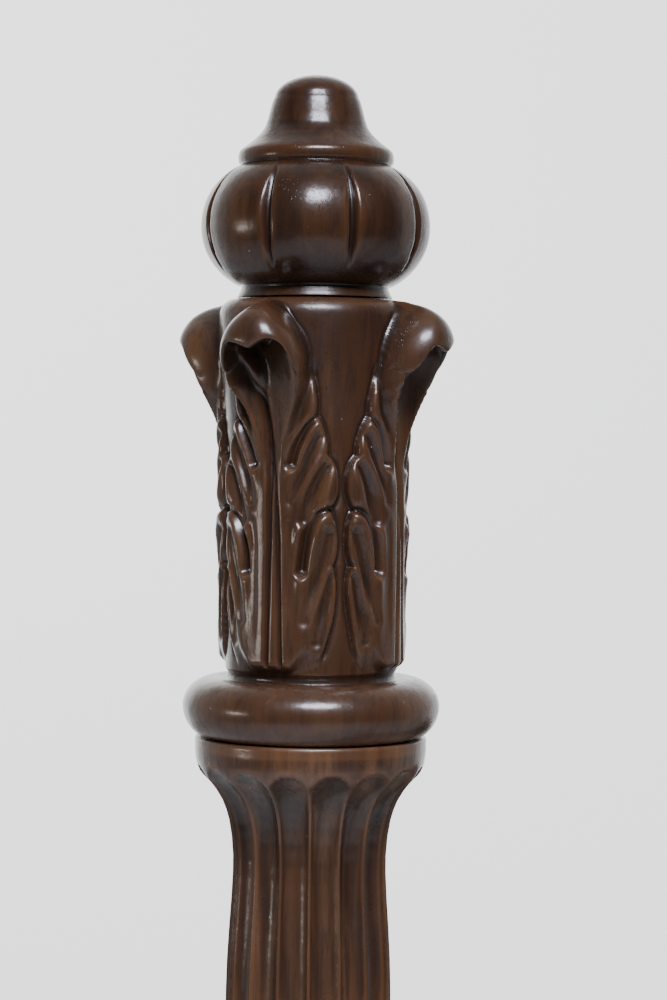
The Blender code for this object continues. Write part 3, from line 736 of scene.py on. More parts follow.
wear_shade_group, wear_shade_in, wear_shade_out = new_tree(
    "wear_and_shade",
    [("Position", "NodeSocketVector", None), ("Hollow", "NodeSocketFloat", 0.0)],
    [("Rubbed", "NodeSocketFloat"), ("Stain_and_shade", "NodeSocketFloat")],
)
place, hollow = wear_shade_in.outputs[:2]
break_up = maths(wear_shade_group, "SUBTRACT", noise(wear_shade_group, place, 160.0, 4.0, 0.6), 0.5)
shifted = maths(wear_shade_group, "ADD", hollow, times(wear_shade_group, break_up, 0.5))
wear_shade_group.links.new(ramp(wear_shade_group, shifted, -0.12, -0.75), wear_shade_out.inputs["Rubbed"])
# mask for the hollows: darker stain and painted shade on the wood, patina on the metals
wear_shade_group.links.new(ramp(wear_shade_group, shifted, 0.05, 0.62), wear_shade_out.inputs["Stain_and_shade"])

dust_group, dust_in, dust_out = new_tree(
    "dust_specks",
    [("Position", "NodeSocketVector", None), ("Amount", "NodeSocketFloat", 0.05)],
    [("Specks", "NodeSocketFloat"), ("Film", "NodeSocketFloat")],
)
place, amount = dust_in.outputs[:2]
cells = add(dust_group, "ShaderNodeTexVoronoi", {"Vector": place, "Scale": 420.0})
speck = ramp(dust_group, cells.outputs["Distance"], 0.10, 0.05)
cell_value = add(dust_group, "ShaderNodeSeparateColor", {0: cells.outputs["Color"]}).outputs[0]
chosen = maths(dust_group, "LESS_THAN", cell_value, amount)
film = ramp(dust_group, noise(dust_group, place, 55.0, 5.0, 0.6), 0.42, 0.75)
dust_group.links.new(times(dust_group, speck, chosen), dust_out.inputs["Specks"])
dust_group.links.new(film, dust_out.inputs["Film"])
print("shared groups:", [g.name for g in bpy.data.node_groups])

# %% [markdown]
# ## Stained mahogany under lacquer
#
# The colour is built up as a polisher does it: a warm brown ground, amber and dark streaks along the
# grain, a darker stain with painted shade in the hollows, and lighter wood where the crests are rubbed.
# Over it lies a hard clear coat, so the base stays rather dull and the coat gives the crisp reflections. A
# very fine bump keeps pores and the slight ripple of brushed lacquer in those reflections.


# %% Lacquered wood
def shared_inputs(tree, stretch, dust_amount):
    """Object position and the outputs of the grain, wear-and-shade and dust groups."""
    place = add(tree, "ShaderNodeTexCoord").outputs["Object"]
    hollow = add(tree, "ShaderNodeAttribute", attribute_name="hollow").outputs["Fac"]
    grain = add(tree, "ShaderNodeGroup", {"Position": place, "Stretch": stretch}, node_tree=grain_group)
    wear = add(tree, "ShaderNodeGroup", {"Position": place, "Hollow": hollow}, node_tree=wear_shade_group)
    dust = add(tree, "ShaderNodeGroup", {"Position": place, "Amount": dust_amount}, node_tree=dust_group)
    return place, grain.outputs, wear.outputs, dust.outputs


def lacquered_wood(name, stretch, ground, amber, dark, seams=None, sheen=0.30):
    material, tree, shader = new_material(name)
    place, grain, wear, dust = shared_inputs(tree, stretch, 0.030)
    colour = blend(tree, ramp(tree, grain["Figure"], 0.36, 0.68), ground, amber)
    colour = blend(tree, ramp(tree, grain["Streaks"], 0.44, 0.68, 0.0, 0.55), colour, dark)
    patches = ramp(tree, noise(tree, place, 34.0, 2.0, 0.5), 0.35, 0.72, 0.0, 0.45)
    colour = blend(tree, patches, colour, dark)
    colour = mix_in(tree, colour, grain["Pores"], 0.80, (0.008, 0.004, 0.003, 1))
    if seams is not None:
        colour = seams(tree, place, colour)
    # darker stain and painted shade: the hollows are pulled toward near black
    colour = mix_in(tree, colour, wear["Stain_and_shade"], 0.62, (0.010, 0.0055, 0.0040, 1))
    colour = mix_in(tree, colour, wear["Rubbed"], 0.30, scaled(amber, 1.5))
    colour = mix_in(tree, colour, dust["Specks"], 0.60, (0.42, 0.41, 0.40, 1))
    ripple = times(tree, noise(tree, place, 300.0, 2.0, 0.5), 0.00010)
    pitted = times(tree, grain["Pores"], -0.00004)
    rough = ramp(tree, grain["Streaks"], 0.30, 0.75, 0.42, 0.60)
    normal = link_all(tree, shader, colour, rough, maths(tree, "ADD", ripple, pitted))
    tree.links.new(normal, shader.inputs["Coat Normal"])
    tree.links.new(ramp(tree, dust["Film"], 0.0, 1.0, 0.22, 0.34), shader.inputs["Coat Roughness"])
    shader.inputs["Coat Weight"].default_value = 1.0
    shader.inputs["Coat IOR"].default_value = 1.5
    shader.inputs["Specular IOR Level"].default_value = sheen
    return material


UPRIGHT = (1.0, 1.0, 0.09)
capital_wood = lacquered_wood(
    "carved_mahogany", UPRIGHT,
    (0.054, 0.0218, 0.0096, 1), (0.082, 0.0372, 0.0156, 1), (0.014, 0.0062, 0.0036, 1),
    sheen=0.18,
)
finial_wood = lacquered_wood(
    "turned_mahogany", UPRIGHT,
    (0.027, 0.0100, 0.0040, 1), (0.066, 0.0270, 0.0098, 1), (0.013, 0.0056, 0.0031, 1),
    sheen=0.10,
)

# %% [markdown]
# The shaft was glued up from strips before it was turned. Two of the joints show on the plain band, as
# straight upright lines with pale filler in places, and each strip has taken the stain a little
# differently.


# %% Glued-up shaft
STRIP_ANGLE = 0.62  # radians


def glue_lines(tree, place, colour):
    parts = add(tree, "ShaderNodeSeparateXYZ", {0: place})
    angle = maths(tree, "ARCTAN2", parts.outputs[1], parts.outputs[0])
    strips = times(tree, maths(tree, "ADD", angle, 0.30), 1 / STRIP_ANGLE)
    strip = maths(tree, "FLOOR", strips)
    shade = add(tree, "ShaderNodeTexWhiteNoise", {"W": strip}, noise_dimensions="1D").outputs["Value"]
    colour = mix_in(tree, colour, shade, 0.35, (0.090, 0.036, 0.014, 1))
    gap = maths(tree, "ABSOLUTE", maths(tree, "SUBTRACT", maths(tree, "FRACT", strips), 0.5))
    line = ramp(tree, gap, 0.4955, 0.4985)
    crumbs = ramp(tree, noise(tree, place, 420.0, 2.0), 0.50, 0.62)
    colour = mix_in(tree, colour, line, 0.85, (0.012, 0.006, 0.004, 1))
    return mix_in(tree, colour, line, times(tree, crumbs, 0.8), (0.30, 0.19, 0.10, 1))


shaft_wood = lacquered_wood(
    "glued_mahogany", UPRIGHT,
    (0.044, 0.0170, 0.0072, 1), (0.130, 0.0580, 0.0240, 1), (0.015, 0.0060, 0.0032, 1),
    seams=glue_lines,
)
print("woods:", [m.name for m in bpy.data.materials])

# %% Stand the posts up
def even_normals(obj):
    """Lets the large flat faces decide the shading, so that small bevels don't tint them."""
    weighted = obj.modifiers.new("flat_faces_first", "WEIGHTED_NORMAL")
    weighted.keep_sharp = True


def add_piece(mesh, name, node, material, body="frame", flat_faces=True):
    mesh.materials.append(material)
    obj = bpy.data.objects.new(name, mesh)
    bpy.context.scene.collection.objects.link(obj)
    if flat_faces:
        even_normals(obj)
    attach(obj, body)
    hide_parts(node)


def place_copies(mesh, piece, node, lift_mm, body_format, material):
    for corner, (x, y) in POST_AXES.items():
        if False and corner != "foot_left":
            continue
        copy = mesh.copy()
        copy.transform(Matrix.Translation((x, y, lift_mm * MM)))
        body = body_format.format(corner)
        add_piece(copy, f"{piece}_{corner}", f"{node}_{corner}", material, body, False)


place_copies(capital_mesh, "carved_capital", "leaf_capital", SHAFT_TOP_MM, "post_top_{}", capital_wood)
place_copies(finial_mesh, "carved_finial", "finial", SHAFT_TOP_MM, "post_top_{}", finial_wood)
place_copies(shaft_mesh, "carved_shaft", "fluted_shaft", 0.0, "frame", shaft_wood)

# %% [markdown]
# ## The lower posts
#
# Each lower post is one turning with a square block left in the middle, where the rails are joined. Its
# vase repeats the melon of the finial, slits and all, and the foot tapers to the felt. The block is a
# separate shell in the same mesh: a box with eased corners, and in its outer face the round recess where
# the bed bolt's head sits. The head of the bed has the same post, turned half a turn about its axis.

# %% Turned part
def lower_post_profile():
    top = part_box("lower_post_foot_left")[1].z / MM
    vase = [(0.0, top - 30.0), (9.4, top - 30.0), (9.4, top), (19.0, top)]
    vase += ellipse_arc((19.0, top - 7.7), (7.8, 7.7), 88, -80, 16)
    vase += [(17.8, 341.5), (17.6, 339.0), (17.9, 336.0)]
    vase += ellipse_arc((11.0, 296.0), (17.5, 39.5), 66, -66, 44) + [(18.2, 257.5), (18.6, 255.2)]
    vase += ellipse_arc((22.2, 246.5), (7.8, 7.5), 100, -84, 16)
    vase += [(21.6, 238.2), (20.9, 236.0), (21.1, 233.5), (22.2, 230.0), (24.0, 226.5), (25.0, 223.0)]
    foot = [(25.0, 90.0), (25.2, 85.5), (24.8, 81.0), (23.4, 78.0), (20.6, 76.0), (19.6, 75.2)]
    foot += ellipse_arc((19.5, 67.5), (6.0, 6.0), 76, -76, 12)
    foot += [(20.6, 60.6), (20.9, 57.0), (20.3, 48.0), (18.5, 38.0), (16.6, 22.0), (15.0, 6.0), (14.4, 2.8)]
    return resample(vase + foot, 3.0) + [(14.0, 2.3), (0.0, 2.3)]


def cut_vase_slits(mesh):
    angle, up, radius = cylinder_coordinates(mesh)
    aside = degrees_aside(angle, SLIT_COUNT, SLIT_OFFSET)
    cut = slit_depth(aside, up, middle=297.0, half_length=34.0, half_width=3.4, depth=2.2)
    on_vase = (up > 258.0) & (up < 334.0)
    set_radius(mesh, np.where(on_vase, radius - cut, radius))


turned_post_mesh = turn_on_lathe("lower_post", lower_post_profile(), 192)
cut_vase_slits(turned_post_mesh)
store_hollows(turned_post_mesh, rounds=5)
print("turned post:", len(turned_post_mesh.polygons), "faces")

# %% The square block
BOLT_HEIGHT = 0.150
BLOCK_SIZE = (0.056, 0.056, 0.140)
BLOCK_MIDDLE = 0.155
RECESS_RADIUS = 0.0075
RECESS_DEPTH = 0.0055


def kept(kind, geom):
    """The elements of one kind, bmesh.types.BMVert or BMEdge, among an operator's results."""
    return [element for element in geom if isinstance(element, kind)]


def add_box(bm, size, middle):
    verts = bmesh.ops.create_cube(bm, size=1.0)["verts"]
    bmesh.ops.scale(bm, vec=size, verts=verts)
    bmesh.ops.translate(bm, vec=middle, verts=verts)


def bevel(bm, edges, offset, segments):
    bmesh.ops.bevel(
        bm, geom=edges, offset=offset, segments=segments, profile=0.5, affect="EDGES", material=-1
    )


def block_mesh():
    """Box with eased corners whose -Y face has a round recess around the bed bolt."""
    bm = bmesh.new()
    add_box(bm, BLOCK_SIZE, (0, 0, BLOCK_MIDDLE))
    bevel(bm, bm.edges[:], 0.0026, 3)
    face = min(bm.faces, key=lambda f: (round(f.calc_center_median().y, 5), -f.calc_area()))
    outer = list(face.edges)
    bmesh.ops.delete(bm, geom=[face], context="FACES_ONLY")
    ring = []
    for turn in (2 * math.pi * i / 48 for i in range(48)):
        across, up = RECESS_RADIUS * math.cos(turn), RECESS_RADIUS * math.sin(turn)
        ring.append(bm.verts.new((across, -BLOCK_SIZE[1] / 2, BOLT_HEIGHT + up)))
    rim = [bm.edges.new(pair) for pair in zip(ring, ring[1:] + ring[:1])]
    cuts = bmesh.ops.subdivide_edges(bm, edges=outer, cuts=11)
    square = kept(bmesh.types.BMEdge, cuts["geom_inner"] + cuts["geom_split"])
    square = list({e for e in square if e.is_boundary and e not in rim})
    bmesh.ops.bridge_loops(bm, edges=square + rim)
    wall = bmesh.ops.extrude_edge_only(bm, edges=rim)["geom"]
    bmesh.ops.translate(bm, vec=(0, RECESS_DEPTH, 0), verts=kept(bmesh.types.BMVert, wall))
    open_edges = [e for e in kept(bmesh.types.BMEdge, wall) if e.is_boundary]
    bmesh.ops.contextual_create(bm, geom=open_edges)
    bmesh.ops.recalc_face_normals(bm, faces=bm.faces)
    return finished_mesh(bm, "block", sharp_above=50)


def joined(name, parts):
    """One mesh from several closed shells, keeping their stored hollows."""
    bm = bmesh.new()
    bm.verts.layers.float.new("hollow")
    for part in parts:
        bm.from_mesh(part)
    mesh = bpy.data.meshes.new(name)
    bm.to_mesh(mesh)
    bm.free()
    return mesh


def rub_corners(mesh, strength=0.7):
    """Marks the vertices on convex corners as rubbed, by the angle between the faces around them."""
    bm = bmesh.new()
    bm.from_mesh(mesh)
    values = np.zeros(len(bm.verts))
    for vert in bm.verts:
        turns = [e.calc_face_angle_signed(0.0) for e in vert.link_edges]
        values[vert.index] = -strength * min(1.0, max(turns + [0.0]) / 0.45)
    bm.free()
    store(mesh, "hollow", values)


square_block = block_mesh()
rub_corners(square_block)
post_mesh = joined("lower_post", [turned_post_mesh, square_block])
post_wood = lacquered_wood(
    "post_mahogany", UPRIGHT,
    (0.028, 0.0098, 0.0040, 1), (0.082, 0.033, 0.0120, 1), (0.012, 0.0048, 0.0026, 1)
)
for corner, (x, y) in POST_AXES.items():
    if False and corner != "foot_left":
        continue
    copy = post_mesh.copy()
    turn = Matrix.Rotation(math.pi if y > 0 else 0.0, 4, "Z")
    copy.transform(Matrix.Translation((x, y, 0)) @ turn)
    add_piece(copy, f"turned_post_{corner}", f"lower_post_{corner}", post_wood)
print("lower post:", len(post_mesh.polygons), "faces")

# %% [markdown]
# ## Rails, ledgers and slats
#
# A joiner runs one moulding plane along a whole rail, so each of these is a section pushed along a line.
# The rails have eased edges and a scratched bead near the lower edge. The stored hollow value comes from
# how sharply the section turns at each point, so corners look rubbed and the bead's quirks take darker
# stain and painted shade.


# %% Moulded lengths
def bmesh_from(vertices, faces):
    rough = bpy.data.meshes.new("rough")
    rough.from_pydata(vertices, [], faces)
    bm = bmesh.new()
    bm.from_mesh(rough)
    bpy.data.meshes.remove(rough)
    return bm


def mesh_from(name, vertices, faces, sharp_above):
    bm = bmesh_from(vertices, faces)
    bmesh.ops.recalc_face_normals(bm, faces=bm.faces)
    return finished_mesh(bm, name, sharp_above)


def tube_faces(lengths, around):
    """Faces of a closed tube whose rings hold around points each."""
    faces = []
    for ring in range(lengths):
        for i in range(around):
            a, b = ring * around + i, ring * around + (i + 1) % around
            faces.append((a, b, b + around, a + around))
    last = lengths * around
    return faces + [tuple(range(around)), tuple(range(last, last + around))]


def moulded_length(name, section, place_at, start, end):
    """Pushes a closed section (metres) from start to end; place_at turns (u, v, along) into a point."""
    count = len(section)
    steps = np.linspace(start, end, max(2, int(abs(end - start) / 0.02) + 1))
    vertices = [place_at(u, v, along) for along in steps for u, v in section]
    mesh = mesh_from(name, vertices, tube_faces(len(steps) - 1, count), 50)
    values = []
    for i in range(count):
        before = Vector(section[i]) - Vector(section[i - 1])
        after = Vector(section[(i + 1) % count]) - Vector(section[i])
        turn = math.atan2(before.x * after.y - before.y * after.x, before.dot(after))
        values.append(max(-0.8, min(0.9, -turn / 0.8)))
    store(mesh, "hollow", np.tile(np.array(values), len(steps)))
    return mesh


def eased(half_u, half_v, ease, steps=3):
    """Rectangle with rounded corners, anticlockwise."""
    section = []
    for cu, cv, first in ((1, 1, 0), (-1, 1, 90), (-1, -1, 180), (1, -1, 270)):
        for i in range(steps + 1):
            turn = math.radians(first + 90 * i / steps)
            u, v = cu * (half_u - ease), cv * (half_v - ease)
            section.append((u + ease * math.cos(turn), v + ease * math.sin(turn)))
    return section


def rail_section(half_u, half_v, ease):
    """An eased rectangle with a bead scratched along the lower part of both faces."""
    section = eased(half_u, half_v, ease)
    turns = [math.radians(turn) for turn in range(0, 181, 20)]
    bead = [(0.0022 * math.cos(turn), 0.0013 * math.sin(turn) - 0.0011) for turn in turns]
    lower = -half_v + 0.0095
    left = [(-half_u, lower + 0.0034)] + [(-half_u - depth, lower + v) for v, depth in bead]
    left += [(-half_u, lower - 0.0034)]
    right = [(-u, v) for u, v in reversed(left)]
    return section[:8] + left + section[8:] + right


WOOD_TONES = ((0.029, 0.0100, 0.0040, 1), (0.088, 0.0355, 0.0125, 1), (0.012, 0.0048, 0.0026, 1))
along_bed_wood = lacquered_wood("rail_mahogany", (1.0, 0.09, 1.0), *WOOD_TONES)
across_bed_wood = lacquered_wood("board_mahogany", (0.09, 1.0, 1.0), *WOOD_TONES)
RAIL_HALF_THICKNESS = 0.010
RAIL_EASE = 0.0016
SIDE_RAIL_HALF = 0.4717
CROSS_RAIL_HALF = 0.2217


def along_y(name, node, section_of, start=None, end=None):
    """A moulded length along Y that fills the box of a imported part."""
    low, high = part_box(node)
    x, z = (low.x + high.x) / 2, (low.z + high.z) / 2
    section = section_of((high.x - low.x) / 2, (high.z - low.z) / 2)
    start, end = (low.y, high.y) if start is None else (start, end)
    return moulded_length(name, section, lambda u, v, t: (x + u, t, z + v), start, end)


def along_x(name, node, section_of, start=None, end=None):
    low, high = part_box(node)
    y, z = (low.y + high.y) / 2, (low.z + high.z) / 2
    section = section_of((high.y - low.y) / 2, (high.z - low.z) / 2)
    start, end = (low.x, high.x) if start is None else (start, end)
    return moulded_length(name, section, lambda u, v, t: (t, y + u, z + v), start, end)


def rail_of(half_u, half_v):
    return rail_section(RAIL_HALF_THICKNESS, half_v, RAIL_EASE)


for side in ("left", "right"):
    mesh = along_y("side_rail", f"side_rail_{side}", rail_of, -SIDE_RAIL_HALF, SIDE_RAIL_HALF)
    add_piece(mesh, f"moulded_rail_{side}", f"side_rail_{side}", along_bed_wood)
    mesh = along_y("ledger", f"slat_ledger_{side}", lambda u, v: eased(u, v, 0.0012))
    add_piece(mesh, f"eased_ledger_{side}", f"slat_ledger_{side}", along_bed_wood)
for end in ("head", "foot"):
    mesh = along_x("cross_rail", f"{end}_cross_rail", rail_of, -CROSS_RAIL_HALF, CROSS_RAIL_HALF)
    add_piece(mesh, f"moulded_rail_{end}", f"{end}_cross_rail", across_bed_wood)
print("rails and ledgers done")

# %% [markdown]
# ## Head and foot boards
#
# Each board is a grid of points: columns across, and rows that climb from the rail to the crest, so the
# grid bends with the shaped edge. Both faces are then sunk like a fielded panel: a flat frame, a small
# step, and a slope that climbs back to a flat field. The round moulding on the crest is a circle swept
# along it, with a thin quirk cut into each shoulder.


# %% Shaped boards
BOARD_HALF_WIDTH = 0.2185
BOARD_HALF_THICKNESS = 0.007
CREST_RADIUS = 0.0085


def crest(x, shoulder, peak):
    return peak + (shoulder - peak) * smooth(np.abs(x), 0.0, BOARD_HALF_WIDTH * 0.82)


def board_mesh(name, y, bottom, shoulder, peak, tongues, columns=150, rows=110):
    across = np.linspace(-BOARD_HALF_WIDTH, BOARD_HALF_WIDTH, columns + 1)
    climb = np.linspace(0.0, 1.0, rows + 1)
    xs, ts = np.meshgrid(across, climb)
    tops = crest(xs, shoulder, peak) + 0.0008
    zs = bottom + (tops - bottom) * ts
    slope = np.gradient(crest(across, shoulder, peak), across)
    margin = np.minimum(BOARD_HALF_WIDTH - np.abs(xs), zs - bottom)
    margin = np.minimum(margin, (tops - zs) / np.hypot(1.0, slope)[None, :])
    sunk = 0.0018 * smooth(margin, 0.0200, 0.0218) * (1 - smooth(margin, 0.0225, 0.0470))
    eased_edge = 0.0012 * (1 - quarter_round(margin / 0.0016))
    depth = BOARD_HALF_THICKNESS - sunk - eased_edge
    front = np.stack([xs, y - depth, zs], -1).reshape(-1, 3)
    back = np.stack([xs, y + depth, zs], -1).reshape(-1, 3)
    wide, size = columns + 1, xs.size
    faces = []
    for r in range(rows):
        for c in range(columns):
            a = r * wide + c
            faces.append((a, a + 1, a + 1 + wide, a + wide))
            faces.append((size + a, size + a + wide, size + a + 1 + wide, size + a + 1))
    border = list(range(wide)) + [r * wide + columns for r in range(1, rows + 1)]
    border += [rows * wide + c for c in range(columns - 1, -1, -1)]
    border += [r * wide for r in range(rows - 1, 0, -1)]
    for a, b in zip(border, border[1:] + border[:1]):
        faces.append((a, size + a, size + b, b))
    # the sunk band counts as a hollow and gets darker stain and painted shade; the eased edge counts as
    # rubbed
    hollow = np.where(sunk > 0.0015, 0.7, 0.0) - 0.7 * (margin < 0.0012)
    bm = bmesh_from(np.concatenate([front, back]).tolist(), faces)
    layer = bm.verts.layers.float.new("hollow")
    for vert, value in zip(bm.verts, np.tile(hollow.ravel(), 2)):
        vert[layer] = float(value)
    near = BOARD_HALF_WIDTH - 0.004
    for low, high, reach in tongues:
        size = (reach - near, 2 * BOARD_HALF_THICKNESS - 0.0016, high - low - 0.001)
        for side in (-1, 1):
            add_box(bm, size, (side * (reach + near) / 2, y, (low + high) / 2))
    bmesh.ops.recalc_face_normals(bm, faces=bm.faces)
    return finished_mesh(bm, name, sharp_above=40)


def crest_moulding(name, y, shoulder, peak, stations=180, around=40):
    across = np.linspace(-BOARD_HALF_WIDTH, BOARD_HALF_WIDTH, stations + 1)
    heights = crest(across, shoulder, peak)
    slope = np.gradient(heights, across)
    run = 1 / np.hypot(1.0, slope)
    rise = CREST_RADIUS + 0.0009
    turns = np.linspace(0, 2 * math.pi, around, endpoint=False)
    quirk = sum(np.exp(-((np.degrees(turns) - at) / 7) ** 2) for at in (38, 142))
    radius = CREST_RADIUS - 0.0010 * quirk
    ease = np.ones(stations + 1)
    ease[[0, -1]] = 0.90
    points = []
    for i in range(stations + 1):
        lean, up = -slope[i] * run[i], run[i]
        outward = rise + radius * np.sin(turns) * ease[i]
        sideways = y + radius * np.cos(turns) * ease[i]
        points += [(across[i] + o * lean, s, heights[i] + o * up) for o, s in zip(outward, sideways)]
    mesh = mesh_from(name, points, tube_faces(stations, around), 60)
    # the quirks count as hollows, with darker stain and painted shade; the top of the roll counts as
    # lightly rubbed
    store(mesh, "hollow", np.tile(unit(quirk) * 0.9 - 0.3 * (np.sin(turns) > 0.9), stations + 1))
    return mesh


BOARDS = (
    ("head", 0.5, 0.480, 0.565, ((0.196, 0.216, 0.2335), (0.430, 0.460, 0.2390))),
    ("foot", -0.5, 0.262, 0.305, ((0.196, 0.216, 0.2335),)),
)
for end_name, y, shoulder, peak, tongues in BOARDS:
    mesh = board_mesh(f"{end_name}board", y, 0.1903, shoulder, peak, tongues)
    add_piece(mesh, f"fielded_{end_name}board", f"{end_name}board_panel", across_bed_wood)
    cap = crest_moulding(f"{end_name}board_cap", y, shoulder, peak)
    add_piece(cap, f"quirked_cap_{end_name}", f"{end_name}board_cap_moulding", across_bed_wood)
    print(end_name, "board:", len(mesh.polygons), "faces, cap:", len(cap.polygons), "faces")

# %% [markdown]
# ## Plain wood, brass, steel and felt
#
# The slats are unfinished beech that has dried and picked up dust. The covers are brass that has dulled
# except where fingers push them; the bolts and nuts are blued steel; the glides are grey felt. They use
# the same grain, wear and dust groups with other colours and amounts.


# %% Other materials
def plain_wood():
    material, tree, shader = new_material("bare_beech")
    _, grain, wear, dust = shared_inputs(tree, (0.09, 1.0, 1.0), 0.06)
    figure = ramp(tree, grain["Figure"], 0.35, 0.70)
    colour = blend(tree, figure, (0.40, 0.23, 0.12, 1), (0.55, 0.36, 0.21, 1))
    streak = ramp(tree, grain["Streaks"], 0.45, 0.70, 0.0, 0.5)
    colour = blend(tree, streak, colour, (0.28, 0.15, 0.075, 1))
    colour = mix_in(tree, colour, grain["Pores"], 0.6, (0.14, 0.07, 0.035, 1))
    colour = mix_in(tree, colour, wear["Rubbed"], 0.4, (0.62, 0.45, 0.30, 1))
    colour = mix_in(tree, colour, dust["Film"], 0.25, (0.45, 0.43, 0.40, 1))
    rough = ramp(tree, grain["Streaks"], 0.3, 0.7, 0.55, 0.75)
    link_all(tree, shader, colour, rough, times(tree, grain["Streaks"], 0.00012))
    return material


def worn_metal(name, bright, dull, low_rough, high_rough):
    material, tree, shader = new_material(name)
    place, _, wear, dust = shared_inputs(tree, (1.0, 1.0, 1.0), 0.03)
    tarnish = ramp(tree, noise(tree, place, 260.0, 5.0, 0.65), 0.38, 0.66)
    colour = blend(tree, tarnish, bright, dull)
    colour = mix_in(tree, colour, wear["Stain_and_shade"], 0.8, scaled(dull, 0.25))
    colour = mix_in(tree, colour, wear["Rubbed"], 0.7, scaled(bright, 1.15))
    colour = mix_in(tree, colour, dust["Specks"], 0.5, (0.35, 0.34, 0.32, 1))
    rough = ramp(tree, tarnish, 0.0, 1.0, low_rough, high_rough)
    scratches = times(tree, noise(tree, place, 1900.0, 3.0, 0.7, 1.5), 0.00003)
    link_all(tree, shader, colour, rough, scratches)
    shader.inputs["Metallic"].default_value = 1.0
    return material


def felt_cloth():
    material, tree, shader = new_material("grey_felt")
    place, _, _, dust = shared_inputs(tree, (1.0, 1.0, 1.0), 0.1)
    fibres = noise(tree, place, 2600.0, 4.0, 0.8, 2.0)
    weave = ramp(tree, fibres, 0.35, 0.70)
    colour = blend(tree, weave, (0.030, 0.029, 0.028, 1), (0.085, 0.080, 0.075, 1))
    colour = mix_in(tree, colour, dust["Film"], 0.4, (0.20, 0.19, 0.18, 1))
    link_all(tree, shader, colour, ramp(tree, fibres, 0.3, 0.7, 0.85, 1.0), times(tree, fibres, 0.0004))
    return material


beech = plain_wood()
brass = worn_metal("worn_brass", (0.72, 0.47, 0.17, 1), (0.36, 0.22, 0.085, 1), 0.20, 0.42)
steel = worn_metal("blued_steel", (0.30, 0.31, 0.34, 1), (0.12, 0.115, 0.12, 1), 0.28, 0.50)
felt = felt_cloth()
print("materials:", len(bpy.data.materials))

# %% Slats
for i in range(1, 9):
    mesh = along_x("slat", f"slat_{i}", lambda u, v: eased(u, v, 0.0014))
    add_piece(mesh, f"eased_slat_{i}", f"slat_{i}", beech)

# %% [markdown]
# ## The swinging bolt covers
#
# A cover is a small stamped disc with a rolled rim and a low dome, hanging from an ear with a pin through
# it. The disc and the ear are made lying flat, then stood up against the outer face of the block.

# %% Bolt covers
COVER_STANDS_OFF = 0.0283
EAR_HEIGHT_MM = 14.5


def cover_mesh():
    dome = [(0.0, 2.2), (2.5, 2.12), (5.0, 1.85), (7.0, 1.42), (8.3, 1.02), (8.9, 0.90), (9.4, 0.98)]
    rim = [(9.9, 1.32), (10.5, 1.45), (11.1, 1.32), (11.42, 0.95), (11.45, 0.35), (11.2, 0.05), (0.0, 0.05)]
    disc = turn_on_lathe("cover_disc", resample(dome, 0.5) + rim, 96)
    store_hollows(disc, rounds=4)
    bm = bmesh.new()
    outline = [(-3.6, 8.0), (-4.0, 11.5), (-4.15, EAR_HEIGHT_MM)]
    for turn in (math.radians(degrees) for degrees in range(165, 14, -10)):
        outline.append((4.2 * math.cos(turn), EAR_HEIGHT_MM + 4.2 * math.sin(turn)))
    outline += [(4.15, EAR_HEIGHT_MM), (4.0, 11.5), (3.6, 8.0)]
    verts = [bm.verts.new((x * MM, y * MM, 0.00008)) for x, y in outline]
    base = bm.faces.new(verts)
    top = bmesh.ops.extrude_face_region(bm, geom=[base])["geom"]
    bmesh.ops.translate(bm, vec=(0, 0, 0.00106), verts=kept(bmesh.types.BMVert, top))
    bmesh.ops.recalc_face_normals(bm, faces=bm.faces)
    high_edges = [e for e in bm.edges if min(v.co.z for v in e.verts) > 0.001]
    bevel(bm, [e for e in high_edges if e.calc_face_angle(0) > 1.0], 0.00025, 2)
    ear = finished_mesh(bm, "cover_ear")
    rub_corners(ear)
    mesh = joined("bolt_cover", [disc, ear])
    mesh.shade_smooth()
    mesh.set_sharp_from_angle(angle=math.radians(35))
    return mesh


cover = cover_mesh()
for corner, (x, y) in POST_AXES.items():
    outward = -1 if y < 0 else 1
    stand = Matrix.Translation((x, y + outward * COVER_STANDS_OFF, BOLT_HEIGHT))
    face = Matrix.Rotation(0.0 if y < 0 else math.pi, 4, "Z") @ Matrix.Rotation(math.pi / 2, 4, "X")
    copy = cover.copy()
    copy.transform(stand @ face)
    add_piece(copy, f"domed_cover_{corner}", f"bolt_cover_{corner}", brass, f"cover_{corner}")
print("cover:", len(cover.polygons), "faces")

# %% [markdown]
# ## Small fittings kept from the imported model
#
# The bolts, nuts, wooden pins, cover pins and felt glides already have the right shape at this size, so
# they stay as they are and only take on the better materials.

# %% Dress the small fittings
FITTINGS = {
    "bed_bolt": steel, "bolt_nut": steel, "cover_pin": brass, "capital_pin": post_wood, "glide": felt,
}
dressed = 0
for kind, material in FITTINGS.items():
    for corner in CORNERS:
        fitting = bpy.data.objects[f"{kind}_{corner}"]
        for material_slot in fitting.material_slots:
            material_slot.material = material
            dressed += 1
print("dressed", dressed, "slots")

# %% [markdown]
# ## The floor
#
# A wide pale disc, so that the legs have something to stand on. A little noise keeps it from being flat.

# %% Floor
floor_bm = bmesh.new()
bmesh.ops.create_circle(floor_bm, cap_ends=True, segments=96, radius=2.4)
floor_mesh = bpy.data.meshes.new("floor")
floor_bm.to_mesh(floor_mesh)
floor_bm.free()
floor = bpy.data.objects.new("floor", floor_mesh)
bpy.context.scene.collection.objects.link(floor)
floor_material, floor_tree, floor_shader = new_material("pale_floor")
floor_place = add(floor_tree, "ShaderNodeTexCoord").outputs["Object"]
mottle = noise(floor_tree, floor_place, 3.0, 6.0, 0.6)
floor_colour = blend(floor_tree, mottle, (0.62, 0.62, 0.61, 1), (0.74, 0.74, 0.73, 1))
floor_tree.links.new(floor_colour, floor_shader.inputs["Base Color"])
floor_shader.inputs["Roughness"].default_value = 0.7
floor_mesh.materials.append(floor_material)

